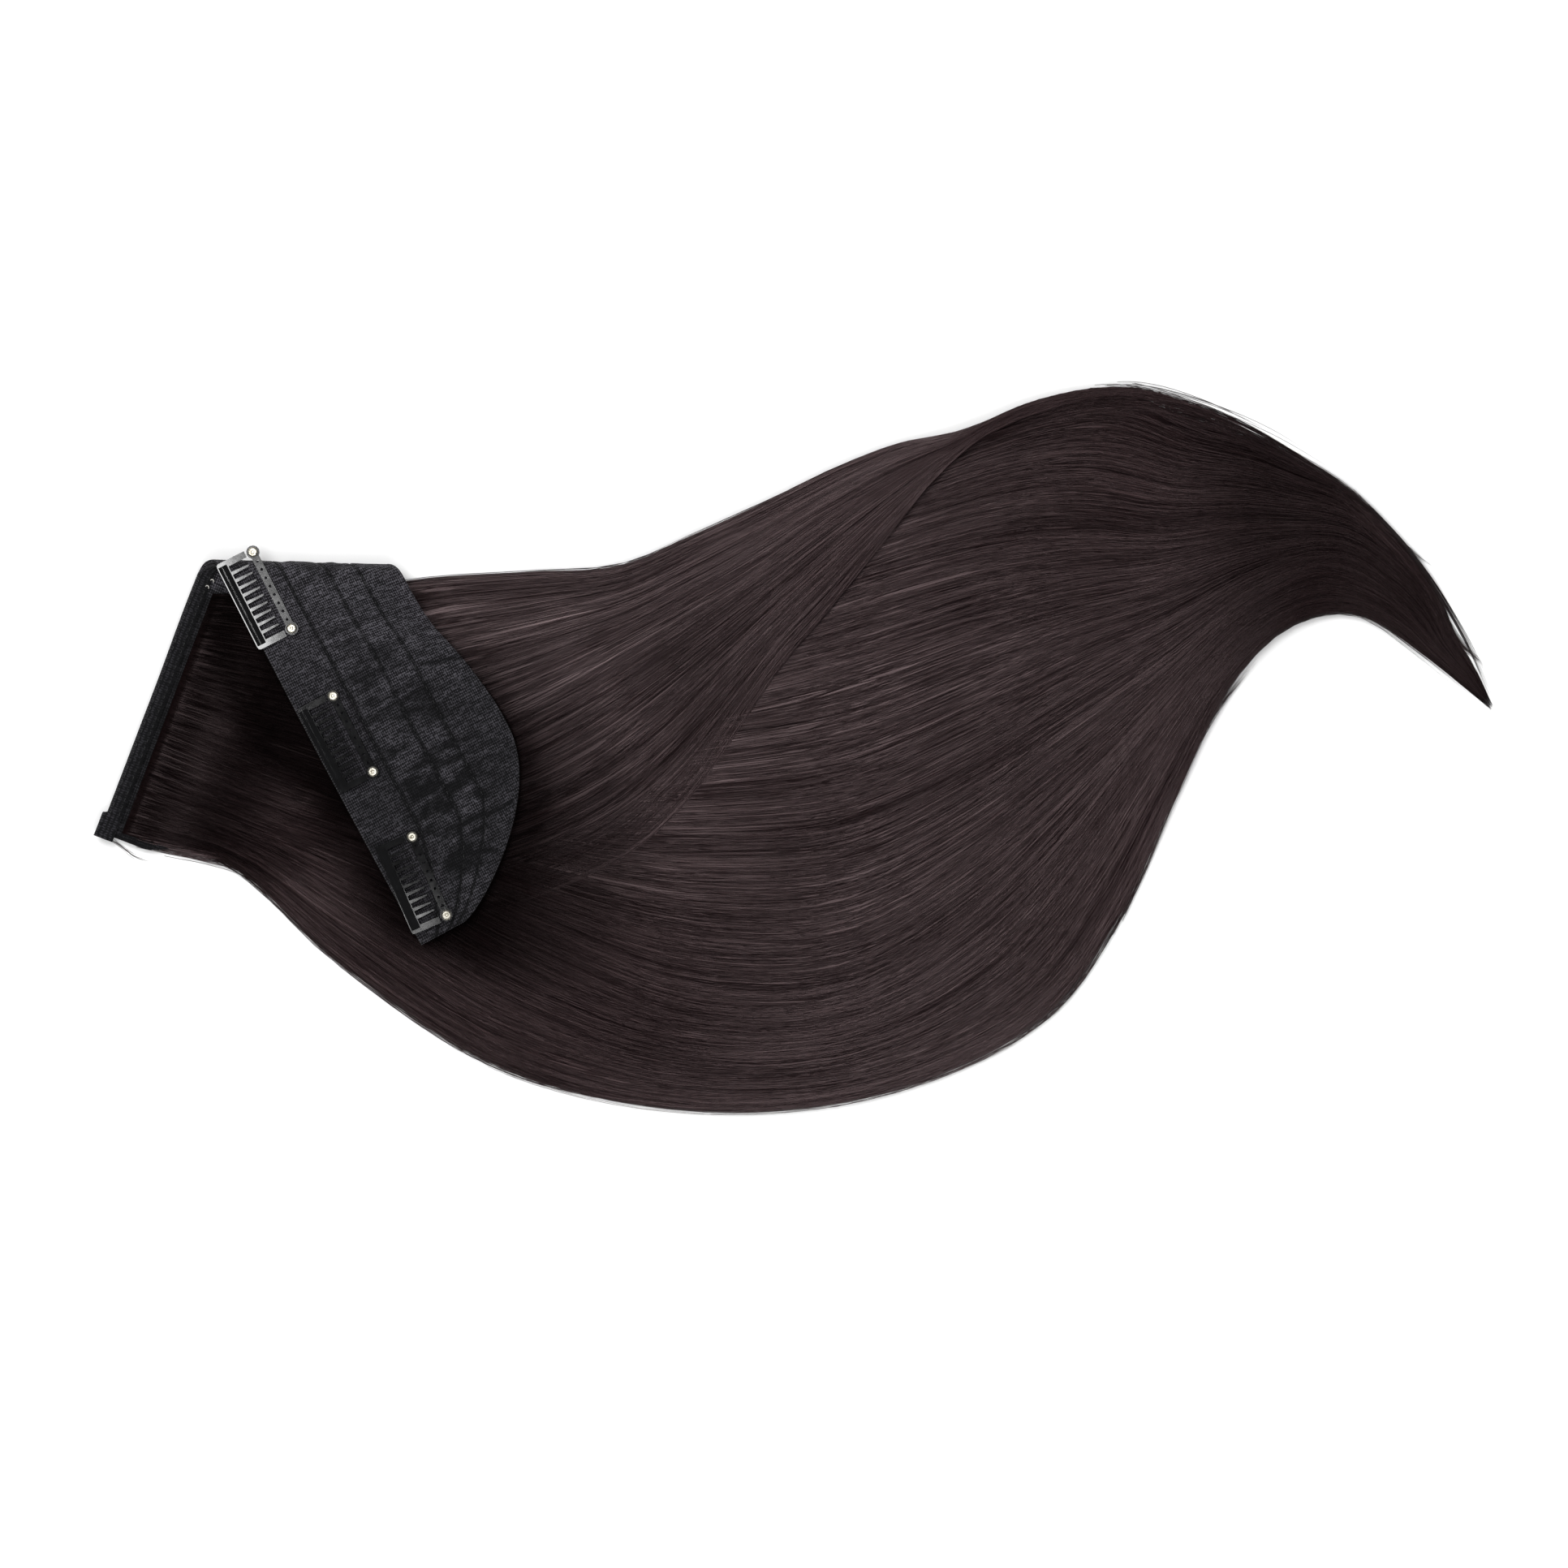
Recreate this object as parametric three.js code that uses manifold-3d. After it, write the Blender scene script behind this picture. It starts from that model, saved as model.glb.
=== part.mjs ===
// A clip-in hair extension: one wide weft of long straight hair on a D-shaped lace base with snap clips.
// It lies as it was laid down: the base is folded once, so the left half shows its hair side and the
// right half is turned over and shows its clips. The hair sweeps off to the right and ends in a point.
// Millimetres. +X is the way the hair runs, +Y is the crease side, +Z is up from the surface it lies on.
import * as THREE from "three";
import { mergeVertices } from "three/addons/utils/BufferGeometryUtils.js";
import Module from "manifold-3d";

// Lace base, measured along its straight hem and down from it
const BASE_WIDTH = 244.5;
const BASE_END_DEPTH = 16;
const BASE_DEPTH = 59.5;
const BASE_CORNER = 50;
const BASE_CORNER_FULLNESS = 0.75;
const BASE_MIDDLE_DIP = 6;
const BASE_DIP_FROM = 52;
const BASE_DIP_TO = 100;
const LACE_WALL = 1.2;
const SEAM_GROOVE = 0.4;
const HEM_BOW = 1.3;

// Hem tape on the hair side of the lace
const HEM_TAPE_WIDTH = 5.2;
const HEM_TAPE_WALL = 0.8;

// Where the base lies and how it is folded
const HEM_CORNER = [-228.8, -27.5];
const HEM_ANGLE = THREE.MathUtils.degToRad(69.1);
const CREASE_POINT = [-191.2, 57.4];
const CREASE_ANGLE = THREE.MathUtils.degToRad(3.5);
const CREASE_RADIUS = 4.5;
const CREASE_SAG = 0.09;
const CREASE_SLIP = 3;
const CREASE_REACH = 35;
const FOLDED_DROP = 2.4;
const DROOP_FROM = 17;
const DROOP_TO = 45;
const DROOP_CREASE_REACH = 25;

// Snap clips
const CLIPS = [
  { station: 118.5, inset: -1.8, turn: 0, in_sight: true },
  { station: 173.5, inset: 0, turn: 0, in_sight: true },
  { station: 225, inset: 0, turn: -5, in_sight: true },
  { station: 70.5, inset: 0, turn: 0, in_sight: false },
  { station: 18.5, inset: 0, turn: 0, in_sight: false },
];
const CLIP_HALF = 15.6;
const SPINE_LENGTH = 28.6;
const RIVET_SPACING = 28;
const RIVET_DEPTH = 13.4;
const PLATE_WALL = 0.8;
const COMB_LIFT = 0.9;
const CLIP_HEIGHT = 2.3;
const SPINE_WIDTH = 3.6;
const TEETH = 9;
const TOOTH_PITCH = 2.7;
const TOOTH_WIDTH = 1.1;
const ARM_WIDTH = 2.2;
const EYE_RADIUS = 2.2;
const BAR_HALF_WIDTH = 1.3;
const SEWING_HOLES = 8;
const SEWING_HOLE_RADIUS = 0.5;
const RIVET_HOLE_RADIUS = 1.2;
const RIVET_SHANK_RADIUS = 0.85;
const RIVET_HEAD_RADIUS = 1.75;
const RIVET_HEAD_HEIGHT = 0.75;
const RIVET_CUP_RADIUS = 0.6;
const RIVET_SIDES = 10;
const CLIP_SEAT_HALF = 7.5;

// Clearance between pieces that touch
const GAP = 0.3;

// Sections across the lower hair, which grows from the left half. Each has points from the top edge to
// the low edge, one on each guide strand, and its full thickness.
const LOWER_SECTIONS = [
  { across: [[-191.3, 51.5], [-198.9, 31.5], [-206.4, 11.5], [-214, -8.6], [-221.6, -28.6]], thick: 2.4 },
  { across: [[-150, 50], [-158.7, 23.2], [-168, -2.1], [-176, -23.5], [-186.5, -39]], thick: 2.6 },
  { across: [[-100, 51], [-112, 19.2], [-122.7, -16.8], [-133.3, -40], [-152, -70]], thick: 3.6 },
  { across: [[-50, 56], [-66.7, 25.9], [-74.7, -24], [-86.7, -63.5], [-98, -105.5]], thick: 5 },
  { across: [[0, 75], [-25.3, 37.9], [-29.3, -25.1], [-34.7, -83.5], [-34.5, -120]], thick: 6 },
  { across: [[42, 98], [17.3, 52.5], [17.3, -20.8], [17.3, -82.7], [28, -114.5]], thick: 6 },
  { across: [[82.5, 113.5], [58.7, 64.5], [58.7, -2.1], [60, -58.1], [82.5, -89]], thick: 6 },
  { across: [[110, 118], [93.3, 69.3], [93.3, 19.2], [89.3, -28.8], [107, -56]], thick: 6.5 },
  { across: [[136, 112], [125.3, 71.2], [125.3, 39.2], [114.7, 2.7], [125.5, -16.5]], thick: 7 },
  { across: [[162.5, 98.5], [158, 73.5], [154.7, 57], [146.7, 39.2], [144, 21.5]], thick: 7.5 },
  { across: [[184, 84], [181.5, 71.5], [177.3, 62], [171, 51.5], [163, 40]], thick: 7.5 },
  { across: [[204, 62.5], [201, 57.5], [196, 52], [190.5, 47.5], [184, 44]], thick: 6 },
  { across: [[219, 39], [216.3, 36.8], [213, 34.5], [209.7, 32.4], [206, 30.5]], thick: 4 },
  { across: [[230, 14.5], [229.8, 13.8], [229.5, 13.2], [229.2, 12.6], [229, 12]], thick: 1.5 },
];

// Sections across the upper hair, which grows from the folded half and lies on the lower hair
const UPPER_SECTIONS = [
  { across: [[-177, 54], [-144, -0.8], [-117.5, -56.5]], thick: 3.3 },
  { across: [[-148, 53.5], [-118.7, 6.7], [-96, -52]], thick: 3.3 },
  { across: [[-118, 57], [-94.7, 14.9], [-74.5, -44.5]], thick: 3.6 },
  { across: [[-85.5, 58.8], [-73.3, 25.1], [-52, -32.5]], thick: 4.2 },
  { across: [[-58, 60.5], [-52, 36.5], [-34.5, -16]], thick: 4.8 },
  { across: [[-34.5, 70.5], [-29.9, 49.1], [-18.5, 7]], thick: 5 },
  { across: [[-10.5, 81.5], [-9.3, 61.9], [-5, 27]], thick: 5 },
  { across: [[13.5, 93], [10.1, 75.2], [10.5, 45]], thick: 4.8 },
  { across: [[34.5, 101], [30.9, 88], [29.5, 68.5]], thick: 4.4 },
  { across: [[56, 105.3], [51.2, 98.9], [48, 90.5]], thick: 3.6 },
  { across: [[80, 115], [72, 110.4], [66, 104.5]], thick: 2.8 },
  { across: [[109.5, 119.8], [107.7, 117.9], [106, 115.5]], thick: 1.8 },
  { across: [[138.5, 111.5], [137.5, 109.9], [136.5, 108]], thick: 1.2 },
];
const LOWER_HAIR = { sections: LOWER_SECTIONS, along: 44, across: 18, locks: 5, groove: 0.8, sway: 0.06 };
const UPPER_HAIR = { sections: UPPER_SECTIONS, along: 30, across: 12, locks: 3, groove: 0.6, sway: 0.03 };
const HAIR_EDGE_SHARE = 0.3;
const HAIR_CROWN_POWER = 2.4;
const FULL_GROOVE_THICKNESS = 4;
const LEAST_HAIR = 0.5;
const HAIR_OVER_LACE = 0.75;
const HAIR_FALL_FROM = 4;
const HAIR_FALL_TO = 22;
const CREST_REACH = 7;
const HAIR_RISE = 5;

// Lines sewn along the base: each is at a distance from the hem, or at a share of the depth if less
const SEAM_HALF = 1.5;
const BASE_STATIONS = [
  { from_hem: 0, share: 0 },
  { from_hem: 6, share: 0.13 },
  { from_hem: 17 - SEAM_HALF, share: 0.31 },
  { from_hem: 17, share: 0.34, sewn: true },
  { from_hem: 17 + SEAM_HALF, share: 0.37 },
  { from_hem: 31.6 - SEAM_HALF, share: 0.565 },
  { from_hem: 31.6, share: 0.6, sewn: true },
  { from_hem: 31.6 + SEAM_HALF, share: 0.635 },
  { from_hem: 41.5 - SEAM_HALF, share: 0.735 },
  { from_hem: 41.5, share: 0.765, sewn: true },
  { from_hem: 41.5 + SEAM_HALF, share: 0.795 },
  { from_hem: BASE_DEPTH, share: 0.95 },
  { from_hem: BASE_DEPTH, share: 1 },
];
const TAPE_STATIONS = [
  { from_hem: 0.4, share: 0.02 },
  { from_hem: HEM_TAPE_WIDTH, share: 0.4 },
];
const COLUMNS_BEFORE_CREASE = 20;
const COLUMNS_IN_CREASE = 8;
const COLUMNS_AFTER_CREASE = 28;

const { smoothstep, lerp, clamp } = THREE.MathUtils;
const wasm = await Module();
wasm.setup();

// Manifold solid of a three.js geometry
function solidOf(geometry) {
  const bare = geometry.clone();
  bare.deleteAttribute("normal");
  bare.deleteAttribute("uv");
  const merged = mergeVertices(bare, 1e-4);
  const triVerts = new Uint32Array(merged.index.array);
  const vertProperties = new Float32Array(merged.attributes.position.array);
  return new wasm.Manifold(new wasm.Mesh({ numProp: 3, vertProperties, triVerts }));
}

// three.js geometry of a manifold solid
function geometryOf(solid) {
  const mesh = solid.getMesh();
  const geometry = new THREE.BufferGeometry();
  geometry.setAttribute("position", new THREE.BufferAttribute(new Float32Array(mesh.vertProperties), 3));
  geometry.setIndex(new THREE.BufferAttribute(new Uint32Array(mesh.triVerts), 1));
  return geometry;
}

function joined(...geometries) {
  const [first, ...others] = geometries.map(solidOf);
  return geometryOf(others.reduce((whole, next) => whole.add(next), first));
}

// Closed slab between two faces that are each worked out on the same grid of i and j
function closedSlab(columns, rows, faceA, faceB) {
  const points = [];
  for (const face of [faceA, faceB]) {
    for (let i = 0; i <= columns; i++) {
      for (let j = 0; j <= rows; j++) points.push(...face(i, j));
    }
  }
  const layer = (columns + 1) * (rows + 1);
  const at = (side, i, j) => side * layer + i * (rows + 1) + j;
  const index = [];
  const quad = (a, b, c, d) => index.push(a, b, c, a, c, d);
  for (let i = 0; i < columns; i++) {
    for (let j = 0; j < rows; j++) {
      quad(at(0, i, j), at(0, i + 1, j), at(0, i + 1, j + 1), at(0, i, j + 1));
      quad(at(1, i, j), at(1, i, j + 1), at(1, i + 1, j + 1), at(1, i + 1, j));
    }
    quad(at(0, i, 0), at(1, i, 0), at(1, i + 1, 0), at(0, i + 1, 0));
    quad(at(0, i + 1, rows), at(1, i + 1, rows), at(1, i, rows), at(0, i, rows));
  }
  for (let j = 0; j < rows; j++) {
    quad(at(0, 0, j + 1), at(1, 0, j + 1), at(1, 0, j), at(0, 0, j));
    quad(at(0, columns, j), at(1, columns, j), at(1, columns, j + 1), at(0, columns, j + 1));
  }
  const geometry = new THREE.BufferGeometry();
  geometry.setAttribute("position", new THREE.Float32BufferAttribute(points, 3));
  geometry.setIndex(signedVolume(points, index) < 0 ? index.reverse() : index);
  return geometry;
}

function signedVolume(points, index) {
  const corner = (k) => new THREE.Vector3().fromArray(points, 3 * index[k]);
  let volume = 0;
  for (let k = 0; k < index.length; k += 3) {
    volume += corner(k).dot(corner(k + 1).cross(corner(k + 2))) / 6;
  }
  return volume;
}

// The base. A point of the flat lace is (s along the hem, d down from it, h into its hair side).
const hemWay = new THREE.Vector2(Math.cos(HEM_ANGLE), Math.sin(HEM_ANGLE));
const depthWay = new THREE.Vector2(hemWay.y, -hemWay.x);
const creaseWay = new THREE.Vector2(Math.cos(CREASE_ANGLE), Math.sin(CREASE_ANGLE));
const acrossCrease = new THREE.Vector2(-creaseWay.y, creaseWay.x);
const hemCorner = new THREE.Vector2(...HEM_CORNER);
const creasePoint = new THREE.Vector2(...CREASE_POINT);
const CREASE_ARC = Math.PI * CREASE_RADIUS;
const CREASE_CENTRE_Z = CLIP_HEIGHT + CREASE_RADIUS;
const FOLDED_LENGTH = 137;

// Depth of the D at a place along the hem: short at the ends, round at the corners, a little less
// in the middle
function baseDepth(s) {
  const end = Math.min(s, BASE_WIDTH - s);
  const round = Math.sin((Math.PI / 2) * clamp(end / BASE_CORNER, 0, 1)) ** BASE_CORNER_FULLNESS;
  return BASE_END_DEPTH + (BASE_DEPTH - BASE_END_DEPTH) * round
    - BASE_MIDDLE_DIP * smoothstep(end, BASE_DIP_FROM, BASE_DIP_TO);
}

function flatPoint(s, d) {
  return hemCorner.clone().addScaledVector(hemWay, s).addScaledVector(depthWay, d);
}

// How far a point of the flat lace lies past the crease's axis
function pastCrease(s, d) {
  return flatPoint(s, d).sub(creasePoint).dot(acrossCrease);
}

// Underside of the left half: flat over the clips, then down to the surface where only hair is under it
function leftDroop(d, past) {
  return (CLIP_HEIGHT - GAP) * smoothstep(d, DROOP_FROM, DROOP_TO) * smoothstep(-past, 0, DROOP_CREASE_REACH);
}

// Place of a lace point once the base is folded round the half-round crease
function lacePoint(s, d, h) {
  const past = pastCrease(s, d);
  const foot = flatPoint(s, d).addScaledVector(acrossCrease, -past);
  const alongCrease = foot.clone().sub(creasePoint).dot(creaseWay);
  const radius = CREASE_RADIUS - h;
  let offset = past;
  let z = CREASE_CENTRE_Z - radius - leftDroop(d, past);
  let hold = 1 - smoothstep(-past, 0, CREASE_REACH);
  if (past > CREASE_ARC) {
    const beyond = past - CREASE_ARC;
    offset = -beyond;
    z = CREASE_CENTRE_Z + radius - FOLDED_DROP * clamp(beyond / FOLDED_LENGTH, 0, 1);
    hold = 1 - smoothstep(beyond, 0, CREASE_REACH);
  } else if (past > 0) {
    offset = radius * Math.sin(past / CREASE_RADIUS);
    z = CREASE_CENTRE_Z - radius * Math.cos(past / CREASE_RADIUS);
    hold = 1;
  }
  foot.addScaledVector(acrossCrease, offset - CREASE_SAG * alongCrease * hold);
  foot.addScaledVector(creaseWay, CREASE_SLIP * smoothstep(past, 0, CREASE_ARC));
  const bow = Math.sin(Math.PI * clamp((past - CREASE_ARC) / FOLDED_LENGTH, 0, 1));
  foot.addScaledVector(depthWay, -HEM_BOW * bow);
  return new THREE.Vector3(foot.x, foot.y, z);
}

// Columns of the lace run parallel to the crease where it folds and square to the hem at its ends
const creaseSkew = -depthWay.dot(acrossCrease) / hemWay.dot(acrossCrease);
const creaseStart = -pastCrease(0, 0) / hemWay.dot(acrossCrease);
const creaseEnd = creaseStart + CREASE_ARC / hemWay.dot(acrossCrease);

function columnStart(column) {
  const inCrease = column - COLUMNS_BEFORE_CREASE;
  const after = inCrease - COLUMNS_IN_CREASE;
  if (inCrease <= 0) {
    return creaseStart * (1 - Math.cos((Math.PI / 2) * (column / COLUMNS_BEFORE_CREASE)));
  }
  if (after <= 0) return lerp(creaseStart, creaseEnd, inCrease / COLUMNS_IN_CREASE);
  return lerp(creaseEnd, BASE_WIDTH, Math.sin((Math.PI / 2) * (after / COLUMNS_AFTER_CREASE)));
}

function columnSkew(start) {
  const toEnd = start < creaseStart ? start / creaseStart : (BASE_WIDTH - start) / (BASE_WIDTH - creaseEnd);
  return creaseSkew * clamp(toEnd, 0, 1);
}

// The lace's s and d at a column and a station, the depth being found at the column's slanted foot
function laceGrid(column, station) {
  const start = columnStart(column);
  const skew = columnSkew(start);
  let depth = baseDepth(start);
  for (let round = 0; round < 12; round++) {
    depth = (depth + baseDepth(clamp(start + skew * depth, 0, BASE_WIDTH))) / 2;
  }
  const d = Math.min(station.from_hem, station.share * depth);
  return { s: start + skew * d, d };
}

function laceSlab(stations, face, back) {
  const columns = COLUMNS_BEFORE_CREASE + COLUMNS_IN_CREASE + COLUMNS_AFTER_CREASE;
  const side = (h, groove) => (i, j) => {
    const { s, d } = laceGrid(i, stations[j]);
    return lacePoint(s, d, h + (stations[j].sewn ? groove : 0)).toArray();
  };
  return closedSlab(columns, stations.length - 1, side(face, SEAM_GROOVE), side(back, 0));
}

function laceBase() {
  return laceSlab(BASE_STATIONS, 0, LACE_WALL);
}

function hemTape() {
  return laceSlab(TAPE_STATIONS, LACE_WALL + GAP, LACE_WALL + GAP + HEM_TAPE_WALL);
}

// Hair. u runs from root to end and v across, from the top edge to the low edge.
function hairPlan({ sections }) {
  const curve = (points) => new THREE.CatmullRomCurve3(points, false, "centripetal");
  const guides = sections[0].across.map((_, guide) => curve(
    sections.map((row) => new THREE.Vector3(...row.across[guide], row.thick))));
  const across = new Map();
  return (u, v) => {
    if (!across.has(u)) across.set(u, curve(guides.map((guide) => guide.getPoint(u))));
    return across.get(u).getPoint(v);
  };
}

// Thickness of the hair: full in the middle, thin at both edges, with a groove between locks that sways
function hairThickness(hair, u, v, full) {
  const crown = Math.sqrt(1 - Math.abs(2 * v - 1) ** HAIR_CROWN_POWER);
  const body = full * (HAIR_EDGE_SHARE + (1 - HAIR_EDGE_SHARE) * crown);
  const groove = Math.cos(Math.PI * hair.locks * (v + hair.sway * Math.sin(4 * u))) ** 2;
  return body - hair.groove * groove * crown * clamp(full / FULL_GROOVE_THICKNESS, 0, 1);
}

// The surface that the lower hair lies on: the floor, and the left half of the base
function underLowerHair(x, y) {
  const place = new THREE.Vector2(x, y).sub(hemCorner);
  const s = place.dot(hemWay);
  const d = place.dot(depthWay);
  const past = pastCrease(s, d);
  const depth = baseDepth(clamp(s, 0, BASE_WIDTH));
  const laceTop = CLIP_HEIGHT + LACE_WALL + HAIR_OVER_LACE - leftDroop(d, past);
  return laceTop * (1 - smoothstep(d, depth + HAIR_FALL_FROM, depth + HAIR_FALL_TO))
    * smoothstep(s, -HAIR_FALL_TO - HAIR_FALL_FROM, -2 * HAIR_FALL_FROM);
}

// Faces of a hair solid: its rest on what is under it, and its top
function hairFaces(hair, under, ceiling) {
  const plan = hairPlan(hair);
  const foot = (i, j) => {
    const { x, y } = plan(i / hair.along, j / hair.across);
    return [x, y, under(x, y)];
  };
  const crest = (i, j) => {
    const [u, v] = [i / hair.along, j / hair.across];
    const { x, y, z: full } = plan(u, v);
    const low = under(x, y);
    const top = Math.min(low + hairThickness(hair, u, v, full), ceiling(x, y));
    return [x, y, Math.max(top, low + LEAST_HAIR)];
  };
  return { foot, crest };
}

// Highest point of a grid face near a place, from a raster of its quads, or the floor where it has none
function crestMap(hair, face) {
  const cell = 3;
  const steps = 5;
  const heights = new Map();
  const key = (a, b) => a * 1000 + b;
  for (let i = 0; i < hair.along * steps; i++) {
    for (let j = 0; j < hair.across * steps; j++) {
      const [p, q] = [Math.floor(i / steps), Math.floor(j / steps)];
      const [fu, fv] = [(i / steps) % 1, (j / steps) % 1];
      const corners = [face(p, q), face(p + 1, q), face(p, q + 1), face(p + 1, q + 1)];
      const mix = (k) => lerp(
        lerp(corners[0][k], corners[1][k], fu), lerp(corners[2][k], corners[3][k], fu), fv);
      const place = key(Math.round(mix(0) / cell), Math.round(mix(1) / cell));
      heights.set(place, Math.max(heights.get(place) ?? 0, mix(2)));
    }
  }
  return (x, y, reach) => {
    let highest = 0;
    const cells = Math.ceil(reach / cell);
    for (let a = -cells; a <= cells; a++) {
      for (let b = -cells; b <= cells; b++) {
        const height = heights.get(key(Math.round(x / cell) + a, Math.round(y / cell) + b));
        highest = Math.max(highest, height ?? 0);
      }
    }
    return highest;
  };
}

// Underside of the folded half, which presses the upper hair flat, and no limit away from it
function foldedCeiling(x, y) {
  const out = new THREE.Vector2(x, y).sub(creasePoint);
  const beyond = -out.dot(acrossCrease);
  const flat = new THREE.Vector2(x, y).addScaledVector(acrossCrease, CREASE_ARC + 2 * beyond).sub(hemCorner);
  const d = flat.dot(depthWay);
  const depth = baseDepth(clamp(flat.dot(hemWay), 0, BASE_WIDTH));
  const underside = CREASE_CENTRE_Z + CREASE_RADIUS - LACE_WALL - 1.5 * GAP
    - FOLDED_DROP * clamp(beyond / FOLDED_LENGTH, 0, 1);
  return underside + HAIR_RISE * smoothstep(d, depth + HAIR_FALL_FROM, depth + HAIR_FALL_TO);
}

// Clip plates lie in their own frame: x along the hem, y down from it, z out from the lace
function plate(shape, bottom, wall) {
  const geometry = new THREE.ExtrudeGeometry(shape, { depth: wall, bevelEnabled: false, curveSegments: 5 });
  return geometry.translate(0, 0, bottom);
}

function circle(x, y, radius) {
  return new THREE.Path().absarc(x, y, radius, 0, 2 * Math.PI, true);
}

// Bar with a round eye at each end for its rivet, and a row of holes that it is sewn down by
function barShape() {
  const half = RIVET_SPACING / 2;
  const reach = Math.asin(BAR_HALF_WIDTH / EYE_RADIUS);
  const shape = new THREE.Shape();
  shape.absarc(half, RIVET_DEPTH, EYE_RADIUS, -Math.PI + reach, Math.PI - reach, false);
  shape.absarc(-half, RIVET_DEPTH, EYE_RADIUS, reach, 2 * Math.PI - reach, false);
  shape.closePath();
  return shape;
}

function sewingBar() {
  const shape = barShape();
  for (const side of [-1, 1]) {
    shape.holes.push(circle((side * RIVET_SPACING) / 2, RIVET_DEPTH, RIVET_HOLE_RADIUS));
  }
  const pitch = (RIVET_SPACING - 3 * EYE_RADIUS) / (SEWING_HOLES - 1);
  for (let hole = 0; hole < SEWING_HOLES; hole++) {
    shape.holes.push(circle((hole - (SEWING_HOLES - 1) / 2) * pitch, RIVET_DEPTH, SEWING_HOLE_RADIUS));
  }
  return plate(shape, GAP, PLATE_WALL);
}

// Comb: a spine along the hem, an arm at each end and a row of teeth, all pointing away from the hem
const COMB_START = 0.6;
const COMB_CORNER = 1.2;
const COMB_REACH = RIVET_DEPTH - EYE_RADIUS - GAP;
const TOOTH_REACH = COMB_REACH - 0.6;

function combShape() {
  const half = CLIP_HALF;
  const root = COMB_START + SPINE_WIDTH;
  const shape = new THREE.Shape();
  shape.moveTo(-half + COMB_CORNER, COMB_START);
  shape.lineTo(half - COMB_CORNER, COMB_START);
  shape.quadraticCurveTo(half, COMB_START, half, COMB_START + COMB_CORNER);
  shape.lineTo(half, COMB_REACH);
  shape.lineTo(half - ARM_WIDTH, COMB_REACH);
  shape.lineTo(half - ARM_WIDTH, root);
  for (let tooth = TEETH - 1; tooth >= 0; tooth--) {
    const x = (tooth - (TEETH - 1) / 2) * TOOTH_PITCH;
    shape.lineTo(x + TOOTH_WIDTH / 2, root);
    shape.lineTo(x + TOOTH_WIDTH / 4, TOOTH_REACH);
    shape.lineTo(x - TOOTH_WIDTH / 4, TOOTH_REACH);
    shape.lineTo(x - TOOTH_WIDTH / 2, root);
  }
  shape.lineTo(-half + ARM_WIDTH, root);
  shape.lineTo(-half + ARM_WIDTH, COMB_REACH);
  shape.lineTo(-half, COMB_REACH);
  shape.lineTo(-half, COMB_START + COMB_CORNER);
  shape.quadraticCurveTo(-half, COMB_START, -half + COMB_CORNER, COMB_START);
  return shape;
}

// Crowned spine, a flat arch in section
function spine() {
  const arch = new THREE.Shape();
  const base = COMB_LIFT + PLATE_WALL / 2;
  const rise = CLIP_HEIGHT - base;
  arch.absellipse(COMB_START + SPINE_WIDTH / 2, base, SPINE_WIDTH / 2 - GAP / 2, rise, 0, Math.PI, false, 0);
  const geometry = new THREE.ExtrudeGeometry(
    arch, { depth: SPINE_LENGTH, bevelEnabled: false, curveSegments: 6 });
  geometry.translate(0, 0, -SPINE_LENGTH / 2);
  const [x, y, z] = [new THREE.Vector3(1, 0, 0), new THREE.Vector3(0, 1, 0), new THREE.Vector3(0, 0, 1)];
  return geometry.applyMatrix4(new THREE.Matrix4().makeBasis(y, z, x));
}

function comb() {
  return joined(plate(combShape(), COMB_LIFT, PLATE_WALL), spine());
}

// Tubular rivet: a shank through the eye and a domed head with a dimple, turned about its own axis
function rivet(side) {
  const head = 2 * GAP + PLATE_WALL;
  const crown = head + RIVET_HEAD_HEIGHT;
  const cupFloor = head + 0.6 * RIVET_HEAD_HEIGHT;
  const profile = [
    [0, GAP],
    [RIVET_SHANK_RADIUS, GAP],
    [RIVET_SHANK_RADIUS, head],
    [RIVET_HEAD_RADIUS, head],
    [RIVET_HEAD_RADIUS, head + 0.4 * RIVET_HEAD_HEIGHT],
    [0.7 * RIVET_HEAD_RADIUS, crown],
    [RIVET_CUP_RADIUS, crown],
    [0.6 * RIVET_CUP_RADIUS, cupFloor],
    [0, cupFloor],
  ];
  const geometry = new THREE.LatheGeometry(profile.map(([r, z]) => new THREE.Vector2(r, z)), RIVET_SIDES);
  geometry.rotateX(Math.PI / 2);
  return geometry.translate((side * RIVET_SPACING) / 2, RIVET_DEPTH, 0);
}

// A clip that the folded base hides: comb and bar in one plain piece
function hiddenClip() {
  const bar = plate(barShape(), GAP, COMB_LIFT + PLATE_WALL - GAP);
  const half = CLIP_HALF;
  const web = new THREE.Shape();
  web.moveTo(-half, COMB_START);
  web.lineTo(half, COMB_START);
  web.lineTo(half, RIVET_DEPTH);
  web.lineTo(-half, RIVET_DEPTH);
  web.closePath();
  return joined(bar, plate(web, COMB_LIFT, PLATE_WALL), spine());
}

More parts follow.
